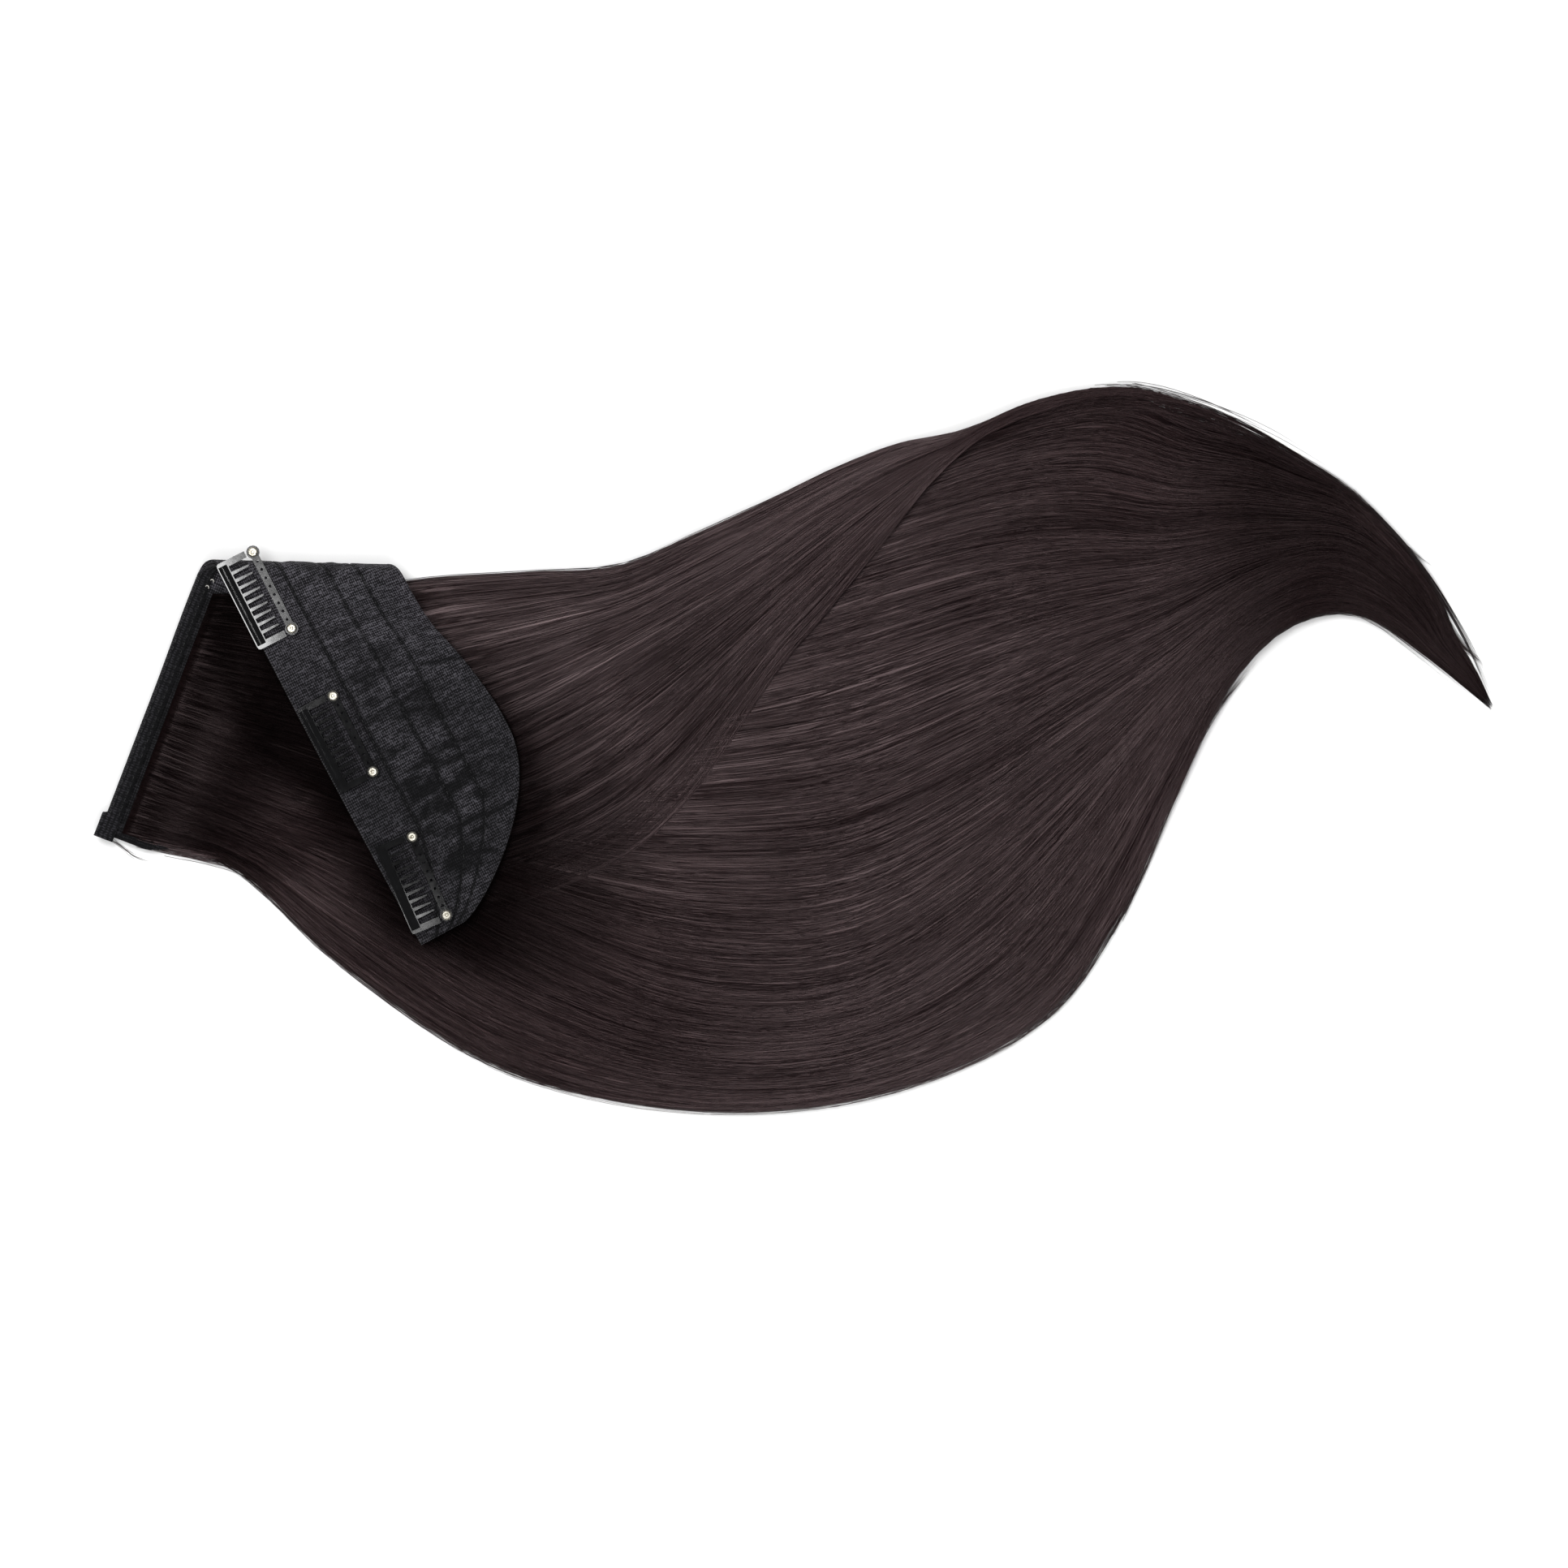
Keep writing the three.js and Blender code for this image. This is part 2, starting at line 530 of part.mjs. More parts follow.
// Group seated on the lace at a clip's station along the hem, square to it and turned in its plane
function seatOnLace({ station, inset, turn }) {
  const origin = lacePoint(station, inset, 0);
  const middle = lacePoint(station, RIVET_DEPTH / 2, 0);
  const [before, after] = [station - CLIP_SEAT_HALF, station + CLIP_SEAT_HALF];
  const x = lacePoint(after, RIVET_DEPTH / 2, 0).sub(lacePoint(before, RIVET_DEPTH / 2, 0)).normalize();
  const y = middle.sub(origin);
  y.addScaledVector(x, -x.dot(y)).normalize();
  const z = x.clone().cross(y);
  const group = new THREE.Group();
  group.quaternion.setFromRotationMatrix(new THREE.Matrix4().makeBasis(x, y, z));
  group.position.copy(origin);
  group.rotateZ(THREE.MathUtils.degToRad(turn));
  return group;
}

const finishes = {
  hair: { color: 0x2a1f20, roughness: 0.45, metalness: 0 },
  lace: { color: 0x1f1f22, roughness: 0.85, metalness: 0 },
  tape: { color: 0x1a1a1c, roughness: 0.8, metalness: 0 },
  black_steel: { color: 0x0c0c0d, roughness: 0.25, metalness: 0.6 },
  rivet_steel: { color: 0xd8d6c8, roughness: 0.3, metalness: 1 },
};

function piece(name, geometry, finish) {
  const mesh = new THREE.Mesh(geometry, new THREE.MeshStandardMaterial(finishes[finish]));
  mesh.name = name;
  return mesh;
}

const group = new THREE.Group();
const lower = hairFaces(LOWER_HAIR, underLowerHair, () => Infinity);
const lowerCrest = crestMap(LOWER_HAIR, lower.crest);
const upper = hairFaces(UPPER_HAIR, (x, y) => lowerCrest(x, y, CREST_REACH) + GAP, foldedCeiling);
group.add(
  piece("lace_base", laceBase(), "lace"),
  piece("hem_tape", hemTape(), "tape"),
  piece("hair_lower", closedSlab(LOWER_HAIR.along, LOWER_HAIR.across, lower.crest, lower.foot), "hair"),
  piece("hair_upper", closedSlab(UPPER_HAIR.along, UPPER_HAIR.across, upper.crest, upper.foot), "hair"),
);
CLIPS.forEach((clip, n) => {
  const name = `clip_${n + 1}`;
  const seat = seatOnLace(clip);
  if (clip.in_sight) {
    seat.add(piece(`${name}_bar`, sewingBar(), "black_steel"));
    seat.add(piece(`${name}_comb`, comb(), "black_steel"));
    seat.add(piece(`${name}_rivet_a`, rivet(-1), "rivet_steel"));
    seat.add(piece(`${name}_rivet_b`, rivet(1), "rivet_steel"));
  } else {
    seat.add(piece(name, hiddenClip(), "black_steel"));
  }
  group.add(seat);
});

export default group;
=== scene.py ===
"""Looks of a clip-in hair extension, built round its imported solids.

The extension lies on a pale table: a D-shaped lace base folded once, snap clips on the side that was
turned up, and long straight hair that sweeps off to the right. Lengths are millimetres until a mesh is
made. The base and the hair are worked out from the same measures as the solids.
"""

import logging
import math
from dataclasses import dataclass, field
from enum import Enum
from typing import Any, Callable, Optional

import bpy
import numpy as np
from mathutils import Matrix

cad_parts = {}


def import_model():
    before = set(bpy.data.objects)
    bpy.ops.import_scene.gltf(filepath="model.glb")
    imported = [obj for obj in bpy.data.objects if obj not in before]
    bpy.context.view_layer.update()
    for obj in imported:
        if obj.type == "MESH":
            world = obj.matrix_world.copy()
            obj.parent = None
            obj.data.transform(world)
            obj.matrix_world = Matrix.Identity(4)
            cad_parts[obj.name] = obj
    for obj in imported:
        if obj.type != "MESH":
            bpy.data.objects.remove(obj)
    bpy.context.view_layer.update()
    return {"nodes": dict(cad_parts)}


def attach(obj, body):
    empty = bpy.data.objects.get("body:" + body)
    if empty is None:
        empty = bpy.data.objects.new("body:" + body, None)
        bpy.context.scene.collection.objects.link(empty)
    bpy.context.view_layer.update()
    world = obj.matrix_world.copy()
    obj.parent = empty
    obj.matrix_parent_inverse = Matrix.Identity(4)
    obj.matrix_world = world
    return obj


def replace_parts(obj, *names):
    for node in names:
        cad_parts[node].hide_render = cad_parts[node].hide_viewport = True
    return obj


log = logging.getLogger("hair_extension")

MM = 0.001
HAIRPIECE = "hairpiece"
PATTERN_MAP = "pattern"
# Name of the point attribute that holds the painted shade
PAINTED_SHADE_MAP = "shade"


class Slot(Enum):
    """Material slots of the record."""

    HAIR = "hair"
    LACE = "lace"
    TAPE = "tape"
    BLACK_STEEL = "black_steel"
    RIVET_STEEL = "rivet_steel"


class LaceSide(Enum):
    """The two faces of the lace, as the sign of the way out of each."""

    CLIPS = -1.0
    HAIR = 1.0


# Whole-array maths


def smoothstep(x: np.ndarray, low: float, high: float) -> np.ndarray:
    """Smooth step: 0 below low, 1 above high, and 3t squared less 2t cubed between them.

    Args:
        x: values.
        low: where the step starts.
        high: where it ends.

    Returns:
        Values from 0 to 1.
    """
    t = np.clip((np.asarray(x, float) - low) / (high - low), 0, 1)
    return t * t * (3 - 2 * t)


def unit(vectors: np.ndarray) -> np.ndarray:
    """Vectors at length one."""
    return vectors / np.maximum(np.linalg.norm(vectors, axis=-1, keepdims=True), 1e-12)


def spline_step(p: list[np.ndarray], w: np.ndarray) -> np.ndarray:
    """One step of a centripetal Catmull-Rom curve.

    The four points are spaced by the square root of their distances. The slopes at the two middle
    points come from those spacings, and a cubic joins them.

    Args:
        p: four arrays of points, each (..., k).
        w: share of the way from the second to the third, (..., 1).

    Returns:
        The points on the curve, (..., k).
    """
    gap = [np.linalg.norm(b - a, axis=-1, keepdims=True) ** 0.5 for a, b in zip(p, p[1:])]
    mid = np.where(gap[1] < 1e-4, 1.0, gap[1])
    before = np.where(gap[0] < 1e-4, mid, gap[0])
    after = np.where(gap[2] < 1e-4, mid, gap[2])
    slope_a = ((p[1] - p[0]) / before - (p[2] - p[0]) / (before + mid) + (p[2] - p[1]) / mid) * mid
    slope_b = ((p[2] - p[1]) / mid - (p[3] - p[1]) / (mid + after) + (p[3] - p[2]) / after) * mid
    square = -3 * p[1] + 3 * p[2] - 2 * slope_a - slope_b
    cube = 2 * p[1] - 2 * p[2] + slope_a + slope_b
    return p[1] + slope_a * w + square * w**2 + cube * w**3


def spline(points: np.ndarray, t: np.ndarray) -> np.ndarray:
    """Points on open Catmull-Rom curves through the first axis of an array.

    Args:
        points: (n, ..., k) points, the curves running along the first axis.
        t: (m,) places from 0 to 1, spaced evenly by point number.

    Returns:
        (m, ..., k) points.
    """
    ends = np.concatenate([[2 * points[0] - points[1]], points, [2 * points[-1] - points[-2]]])
    place = np.asarray(t, float) * (len(points) - 1)
    first = np.clip(np.floor(place).astype(int), 0, len(points) - 2)
    w = (place - first).reshape((-1,) + (1,) * (points.ndim - 1))
    return spline_step([ends[first + k] for k in range(4)], w)


def lattice_noise(
    rng: np.random.Generator, u: np.ndarray, v: np.ndarray, cells: tuple[int, int]
) -> np.ndarray:
    """Smooth noise from -1 to 1: random values on a lattice, joined by smooth steps both ways.

    Args:
        rng: seeded source of the lattice's values.
        u: places from 0 to 1 along the first way.
        v: places from 0 to 1 along the second way.
        cells: lattice cells each way.

    Returns:
        An array of the shape of u.
    """
    values = rng.uniform(-1, 1, (cells[0] + 2, cells[1] + 2))
    a, b = np.clip(u, 0, 1) * cells[0], np.clip(v, 0, 1) * cells[1]
    i, j = np.floor(a).astype(int), np.floor(b).astype(int)
    fa, fb = smoothstep(a - i, 0, 1), smoothstep(b - j, 0, 1)
    low = values[i, j] * (1 - fa) + values[i + 1, j] * fa
    high = values[i, j + 1] * (1 - fa) + values[i + 1, j + 1] * fa
    return low * (1 - fb) + high * fb


def sample_grid(grid: np.ndarray, a: np.ndarray, b: np.ndarray) -> np.ndarray:
    """Values between the points of a grid, mixed from the nearest four by their distances.

    Args:
        grid: (rows, columns, ...) values.
        a: row numbers, with fractions.
        b: column numbers, with fractions.

    Returns:
        Values of the shape of a, with the grid's last axes.
    """
    a = np.clip(a, 0, grid.shape[0] - 1.001)
    b = np.clip(b, 0, grid.shape[1] - 1.001)
    i, j = np.floor(a).astype(int), np.floor(b).astype(int)
    more = (1,) * (grid.ndim - 2)
    fa, fb = (a - i).reshape(a.shape + more), (b - j).reshape(b.shape + more)
    low = grid[i, j] * (1 - fa) + grid[i + 1, j] * fa
    high = grid[i, j + 1] * (1 - fa) + grid[i + 1, j + 1] * fa
    return low * (1 - fb) + high * fb


# Meshes


@dataclass
class Surface:
    """Points, faces, pattern places and painted shade from 0 to 1 of a mesh, in millimetres."""

    points: np.ndarray
    faces: list[np.ndarray]
    pattern: np.ndarray
    shade: np.ndarray


def joined(parts: list[Surface]) -> Surface:
    """One surface of several, their faces renumbered in turn.

    Args:
        parts: the surfaces.

    Returns:
        The one surface.
    """
    starts = np.cumsum([0] + [len(part.points) for part in parts])
    faces = [face + start for part, start in zip(parts, starts) for face in part.faces]
    points, pattern, shade = (
        np.concatenate([getattr(part, name) for part in parts]) for name in ("points", "pattern", "shade")
    )
    return Surface(points, faces, pattern, shade)


def closed_slab(top: np.ndarray, under: np.ndarray, pattern: np.ndarray, shade: np.ndarray) -> Surface:
    """Closed slab between two faces on one grid, with walls round its four sides.

    Args:
        top: (n, m, 3) points of the upper face.
        under: (n, m, 3) points of the lower face.
        pattern: (n, m, 2) pattern places of both faces.
        shade: (n, m) painted shade of both faces.

    Returns:
        The slab, with its faces pointing outwards.
    """
    n, m = top.shape[:2]
    number = np.arange(n * m).reshape(n, m)

    def quads(a: np.ndarray) -> np.ndarray:
        """Quads of a grid of point numbers."""
        return np.stack([a[:-1, :-1], a[1:, :-1], a[1:, 1:], a[:-1, 1:]], -1).reshape(-1, 4)

    ring = np.concatenate([number[:-1, 0], number[-1, :-1], number[:0:-1, -1], number[0, :0:-1]])
    after = np.roll(ring, -1)
    walls = np.stack([ring, ring + n * m, after + n * m, after], -1)
    faces = np.concatenate([quads(number), quads(number)[:, ::-1] + n * m, walls])
    points = np.concatenate([top.reshape(-1, 3), under.reshape(-1, 3)])
    a, b, c = (points[faces[:, k]] for k in (0, 1, 2))
    if np.einsum("ij,ij->i", a, np.cross(b, c)).sum() < 0:
        faces = faces[:, ::-1]
    return Surface(points, [faces], np.tile(pattern.reshape(-1, 2), (2, 1)), np.tile(shade.ravel(), 2))


def tubes(
    lines: np.ndarray, radius: np.ndarray, across: np.ndarray, sides: int = 3, shade: Any = 0.0
) -> Surface:
    """Thin closed tubes, one along each line: a ring of points square to each step, and an end cap.

    Args:
        lines: (s, n, 3) points of s lines.
        radius: radii that fit (s, n).
        across: (s,) pattern place of each tube across the hair or cloth.
        sides: points of a ring.
        shade: painted shade that fits (s, n).

    Returns:
        All the tubes. The pattern is the distance along each line, and its place across.
    """
    s, n = lines.shape[:2]
    way = unit(np.gradient(lines, axis=1))
    side = unit(np.cross(way, [0.0, 0.0, 1.0]))
    out = np.cross(side, way)
    turn = 2 * np.pi * np.arange(sides) / sides + np.pi / 2
    ring = side[:, :, None] * np.cos(turn)[:, None] + out[:, :, None] * np.sin(turn)[:, None]
    wide = np.broadcast_to(radius, (s, n))[:, :, None, None]
    points = (lines[:, :, None] + ring * wide).reshape(-1, 3)
    number = np.arange(s * n * sides).reshape(s, n, sides)
    right = np.roll(number, -1, axis=2)
    walls = np.stack([number[:, :-1], number[:, 1:], right[:, 1:], right[:, :-1]], -1).reshape(-1, 4)
    caps = np.concatenate([number[:, 0], number[:, -1, ::-1]])
    length = np.linalg.norm(np.diff(lines, axis=1), axis=-1).cumsum(axis=1)
    along = np.concatenate([np.zeros((s, 1)), length], axis=1)
    pattern = np.stack(np.broadcast_arrays(along[:, :, None], across[:, None, None], np.zeros(sides)), -1)
    dark = np.repeat(np.broadcast_to(shade, (s, n)).ravel(), sides)
    return Surface(points, [walls, caps], pattern[..., :2].reshape(-1, 2), dark)


def make_piece(name: str, surface: Surface, finish: bpy.types.Material) -> bpy.types.Object:
    """Mesh object of a surface, smooth, with its pattern map, riding on the hairpiece.

    Args:
        name: name of the piece.
        surface: its points, faces and pattern places, in millimetres.
        finish: its material.

    Returns:
        The object, at the origin.
    """
    mesh = bpy.data.meshes.new(name)
    corners = np.concatenate([face.ravel() for face in surface.faces])
    sizes = np.concatenate([np.full(len(face), face.shape[1]) for face in surface.faces])
    mesh.vertices.add(len(surface.points))
    mesh.vertices.foreach_set("co", (surface.points * MM).astype(np.float32).ravel())
    mesh.loops.add(len(corners))
    mesh.loops.foreach_set("vertex_index", corners.astype(np.int32))
    mesh.polygons.add(len(sizes))
    mesh.polygons.foreach_set("loop_start", (np.cumsum(sizes) - sizes).astype(np.int32))
    mesh.polygons.foreach_set("use_smooth", np.ones(len(sizes), bool))
    mesh.update(calc_edges=True)
    places = mesh.uv_layers.new(name=PATTERN_MAP)
    places.data.foreach_set("uv", (surface.pattern[corners] * MM).astype(np.float32).ravel())
    # Painted shade, kept on the points, that the materials darken their colours by
    shade = mesh.attributes.new(name=PAINTED_SHADE_MAP, type="FLOAT", domain="POINT")
    shade.data.foreach_set("value", surface.shade.astype(np.float32))
    mesh.materials.append(finish)
    piece = bpy.data.objects.new(name, mesh)
    bpy.context.scene.collection.objects.link(piece)
    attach(piece, HAIRPIECE)
    triangles = int((sizes - 2).sum())
    log.info("%s: %d triangles", name, triangles)
    return piece


# Finishes


def linear(colour: str) -> tuple[float, float, float, float]:
    """Linear colour of an sRGB hex value such as 2a1f20.

    Args:
        colour: six hex digits.

    Returns:
        Red, green, blue and an alpha of one.
    """
    parts = [int(colour[k : k + 2], 16) / 255 for k in (0, 2, 4)]
    red, green, blue = (p / 12.92 if p <= 0.04045 else ((p + 0.055) / 1.055) ** 2.4 for p in parts)
    return (red, green, blue, 1.0)


def add_node(
    tree: bpy.types.NodeTree,
    kind: str,
    values: Optional[dict[Any, Any]] = None,
    links: Optional[dict[Any, bpy.types.NodeSocket]] = None,
    stops: tuple[tuple[float, str], ...] = (),
    **settings: Any,
) -> bpy.types.Node:
    """A node with its settings, its sockets' values and its links.

    Args:
        tree: where it goes.
        kind: Blender's name of the node type.
        values: socket name or number to value.
        links: socket name or number to the socket that feeds it.
        stops: places and sRGB hex values of a ramp's colours.
        settings: the node's own properties.

    Returns:
        The node.
    """
    node = tree.nodes.new(kind)
    for name, value in settings.items():
        setattr(node, name, value)
    for number, (place, colour) in enumerate(stops):
        if number == len(node.color_ramp.elements):
            node.color_ramp.elements.new(place)
        node.color_ramp.elements[number].position = place
        node.color_ramp.elements[number].color = linear(colour)
    for name, value in (values or {}).items():
        node.inputs[name].default_value = value
    for name, source in (links or {}).items():
        tree.links.new(source, node.inputs[name])
    return node


def new_material(name: str) -> tuple[bpy.types.Material, bpy.types.NodeTree]:
    """An empty node material and its tree.

    Args:
        name: name of the material.

    Returns:
        The material and its node tree.
    """
    material = bpy.data.materials.new(name)
    material.use_nodes = True
    material.node_tree.nodes.clear()
    return material, material.node_tree


def coat_with(
    material: bpy.types.Material, values: dict[str, Any], links: dict[str, bpy.types.NodeSocket]
) -> bpy.types.Material:
    """Ends a material with its main shader and its output.

    Args:
        material: the material, with the nodes that feed the shader.
        values: the shader's fixed inputs.
        links: the shader's inputs that a node feeds.

    Returns:
        The same material.
    """
    tree = material.node_tree
    shader = add_node(tree, "ShaderNodeBsdfPrincipled", values, links)
    add_node(tree, "ShaderNodeOutputMaterial", links={"Surface": shader.outputs["BSDF"]})
    return material


def pattern_noise(
    tree: bpy.types.NodeTree, long_mm: float, wide_mm: float, detail: float = 2.0, shift: float = 0.0
) -> bpy.types.NodeSocket:
    """Noise stretched along the pattern map, with spots of a real length and width in millimetres.

    Args:
        tree: where the nodes go.
        long_mm: length of a spot, along the strands or the hem.
        wide_mm: width of a spot, across them.
        detail: number of finer layers.
        shift: move of the pattern, so that no two patterns agree.

    Returns:
        Values about 0.5.
    """
    places = add_node(tree, "ShaderNodeUVMap", uv_map=PATTERN_MAP)
    scaled = add_node(
        tree,
        "ShaderNodeMapping",
        {"Scale": (1 / (long_mm * MM), 1 / (wide_mm * MM), 1.0), "Location": (shift, shift, 0.0)},
        {"Vector": places.outputs["UV"]},
    )
    noise = add_node(
        tree,
        "ShaderNodeTexNoise",
        {"Scale": 1.0, "Detail": detail, "Roughness": 0.55},
        {"Vector": scaled.outputs["Vector"]},
        noise_dimensions="2D",
    )
    return noise.outputs["Fac"]


def weighted_sum(
    tree: bpy.types.NodeTree, terms: list[tuple[bpy.types.NodeSocket, float]], start: float = 0.0
) -> bpy.types.NodeSocket:
    """A number plus some sockets, each times its weight.

    Args:
        tree: where the nodes go.
        terms: at least one socket, with its weight.
        start: the number.

    Returns:
        The sum.
    """
    total = None
    for socket, weight in terms:
        links = {0: socket} if total is None else {0: socket, 2: total}
        step = add_node(tree, "ShaderNodeMath", {1: weight, 2: start}, links, operation="MULTIPLY_ADD")
        total = step.outputs[0]
    return total


def with_painted_shade(
    tree: bpy.types.NodeTree,
    colour: bpy.types.NodeSocket,
    deep: str,
    uneven: Optional[bpy.types.NodeSocket] = None,
) -> bpy.types.NodeSocket:
    """A colour turned to a deep one by the painted shade stored on the mesh, as in seams and hollows.

    Args:
        tree: where the nodes go.
        colour: the colour in the light.
        deep: sRGB hex value in full painted shade.
        uneven: noise about 0.5 that strengthens the painted shade in some spots and weakens it in others.

    Returns:
        The mixed colour.
    """
    shade = add_node(tree, "ShaderNodeAttribute", attribute_name=PAINTED_SHADE_MAP).outputs["Fac"]
    if uneven is not None:
        strength = weighted_sum(tree, [(uneven, 1.0)], 0.5)
        links = {0: shade, 1: strength}
        shade = add_node(tree, "ShaderNodeMath", links=links, operation="MULTIPLY").outputs[0]
    mix = add_node(tree, "ShaderNodeMix", {7: linear(deep)}, {0: shade, 6: colour}, data_type="RGBA")
    return mix.outputs[2]


@dataclass(frozen=True)
class CombedHair:
    """Dyed human hair, combed straight and coated with silicone.

    The eye sees fine parallel strands, a tone that differs at random, darker in the gaps between the
    small bundles that they fall into, where the same noise sinks the bump, as painted shade, a mahogany
    tint, and a soft gloss that is long across the strands and breaks up between them. The colour and the
    gloss tint are darkened further by the painted shade on the mesh.
    A strand is 0.07 mm wide, too fine to show, so it is drawn 0.3 mm wide. Each pattern has a length
    along the hair and a width across it.
    """

    dark: str = "0c0708"
    middle: str = "1b1011"
    light: str = "301f20"
    # Colour and gloss tint in full painted shade
    deep: str = "060404"
    gloss_deep: str = "120d0e"
    gloss_dark: str = "6e595a"
    gloss_light: str = "ffe6e8"
    strand_mm: tuple[float, float] = (70.0, 0.3)
    bundle_mm: tuple[float, float] = (90.0, 1.0)
    lock_mm: tuple[float, float] = (160.0, 12.0)
    strand_share: float = 0.68
    bundle_share: float = 0.18
    lock_share: float = 0.14
    relief_mm: float = 0.1
    ior: float = 1.55
    roughness: float = 0.31
    uneven: float = 0.06
    specular: float = 0.75
    anisotropy: float = 0.8

    def material(self) -> bpy.types.Material:
        """The finish as a material.

        Returns:
            The material.
        """
        material, tree = new_material("combed_dyed_hair")
        strands = pattern_noise(tree, *self.strand_mm, detail=1.0)
        bundles = pattern_noise(tree, *self.bundle_mm, detail=2.0, shift=3.0)
        locks = pattern_noise(tree, *self.lock_mm, detail=1.0, shift=7.0)
        shares = [(strands, self.strand_share), (bundles, self.bundle_share), (locks, self.lock_share)]
        tone = weighted_sum(tree, shares)
        stops = ((0.34, self.dark), (0.5, self.middle), (0.68, self.light))
        colour = add_node(tree, "ShaderNodeValToRGB", links={"Fac": tone}, stops=stops)
        stops = ((0.4, self.gloss_dark), (0.6, self.gloss_light))
        gloss = add_node(tree, "ShaderNodeValToRGB", links={"Fac": tone}, stops=stops)
        relief = weighted_sum(tree, [(strands, 1.0), (bundles, 1.2)])
        depth = {"Strength": 0.4, "Distance": self.relief_mm * MM}
        bump = add_node(tree, "ShaderNodeBump", depth, {"Height": relief})
        dull, sharp = self.roughness + self.uneven, self.roughness - self.uneven
        rough = add_node(tree, "ShaderNodeMapRange", {"To Min": sharp, "To Max": dull}, {"Value": strands})
        tangent = add_node(tree, "ShaderNodeTangent", direction_type="UV_MAP", uv_map=PATTERN_MAP)
        return coat_with(
            material,
            {
                "IOR": self.ior,
                "Specular IOR Level": self.specular,
                "Anisotropic": self.anisotropy,
                "Anisotropic Rotation": 0.25,
            },
            {
                # Painted shade darkens the colour and the gloss tint, so that shaded hair shines less
                "Base Color": with_painted_shade(tree, colour.outputs["Color"], self.deep),
                "Specular Tint": with_painted_shade(tree, gloss.outputs["Color"], self.gloss_deep, strands),
                "Roughness": rough.outputs["Result"],
                "Normal": bump.outputs["Normal"],
                "Tangent": tangent.outputs["Tangent"],
            },
        )


@dataclass(frozen=True)
class WovenCloth:
    """Polyester cloth woven of dark yarn, matt, with a slightly fuzzy surface.

    The eye sees a fine grid of yarns, small lighter flecks where they cross, and a faint grey sheen at
    a slant. Real yarns are about 0.3 mm apart; they are drawn at thread_mm, along the hem and down
    from it, so that they show.
    """

    name: str
    dark: str
    light: str
    thread_mm: tuple[float, float]
    relief_mm: float
    mottle_mm: tuple[float, float] = (1.2, 3.6)
    fleck_mm: tuple[float, float] = (0.8, 0.8)
    weave_share: float = 0.45
    mottle_share: float = 0.55
    fleck_share: float = 0.6
    # Colour in full painted shade
    deep: str = "050506"
    sheen: float = 0.06
    specular: float = 0.12
    roughness: float = 0.82

    def material(self) -> bpy.types.Material:
        """The finish as a material.

        Returns:
            The material.
        """
        material, tree = new_material(self.name)
        places = add_node(tree, "ShaderNodeUVMap", uv_map=PATTERN_MAP)
        waves = []
        for direction, pitch in zip("XY", self.thread_mm):
            wave = add_node(
                tree,
                "ShaderNodeTexWave",
                {"Scale": 0.314 / (pitch * MM), "Distortion": 1.2, "Detail": 1.0, "Detail Scale": 0.6},
                {"Vector": places.outputs["UV"]},
                bands_direction=direction,
            )
            waves.append(wave.outputs["Fac"])
        crossed = add_node(tree, "ShaderNodeMath", links=dict(enumerate(waves)), operation="MULTIPLY")
        weave = crossed.outputs[0]
        mottle = pattern_noise(tree, *self.mottle_mm, detail=3.0)
        fleck = pattern_noise(tree, *self.fleck_mm, detail=1.0, shift=5.0)
        shares = [(weave, self.weave_share), (mottle, self.mottle_share), (fleck, self.fleck_share)]
        tone = weighted_sum(tree, shares)
        stops = ((0.6, self.dark), (0.94, self.light))
        colour = add_node(tree, "ShaderNodeValToRGB", links={"Fac": tone}, stops=stops)
        relief = weighted_sum(tree, [(weave, 1.0), (fleck, 0.8)])
        depth = {"Strength": 1.0, "Distance": self.relief_mm * MM}
        bump = add_node(tree, "ShaderNodeBump", depth, {"Height": relief})
        return coat_with(
            material,
            {
                "Roughness": self.roughness,
                "Sheen Weight": self.sheen,
                "Sheen Roughness": 0.5,
                "Specular IOR Level": self.specular,
            },
            {
                # Painted shade from the mesh darkens the colour
                "Base Color": with_painted_shade(tree, colour.outputs["Color"], self.deep),
                "Normal": bump.outputs["Normal"],
            },
        )


@dataclass(frozen=True)
class SewingThread:
    """Twisted polyester sewing thread: round, with a dull gloss and small bumps from its twist."""

    name: str
    colour: str
    twist_mm: tuple[float, float] = (0.5, 0.2)
    relief_mm: float = 0.05
    roughness: float = 0.5

    def material(self) -> bpy.types.Material:
        """The finish as a material.

        Returns:
            The material.
        """
        material, tree = new_material(self.name)
        twist = pattern_noise(tree, *self.twist_mm, detail=0.0)
        depth = {"Strength": 0.5, "Distance": self.relief_mm * MM}
        bump = add_node(tree, "ShaderNodeBump", depth, {"Height": twist})
        values = {"Base Color": linear(self.colour), "Roughness": self.roughness}
        return coat_with(material, values, {"Normal": bump.outputs["Normal"]})


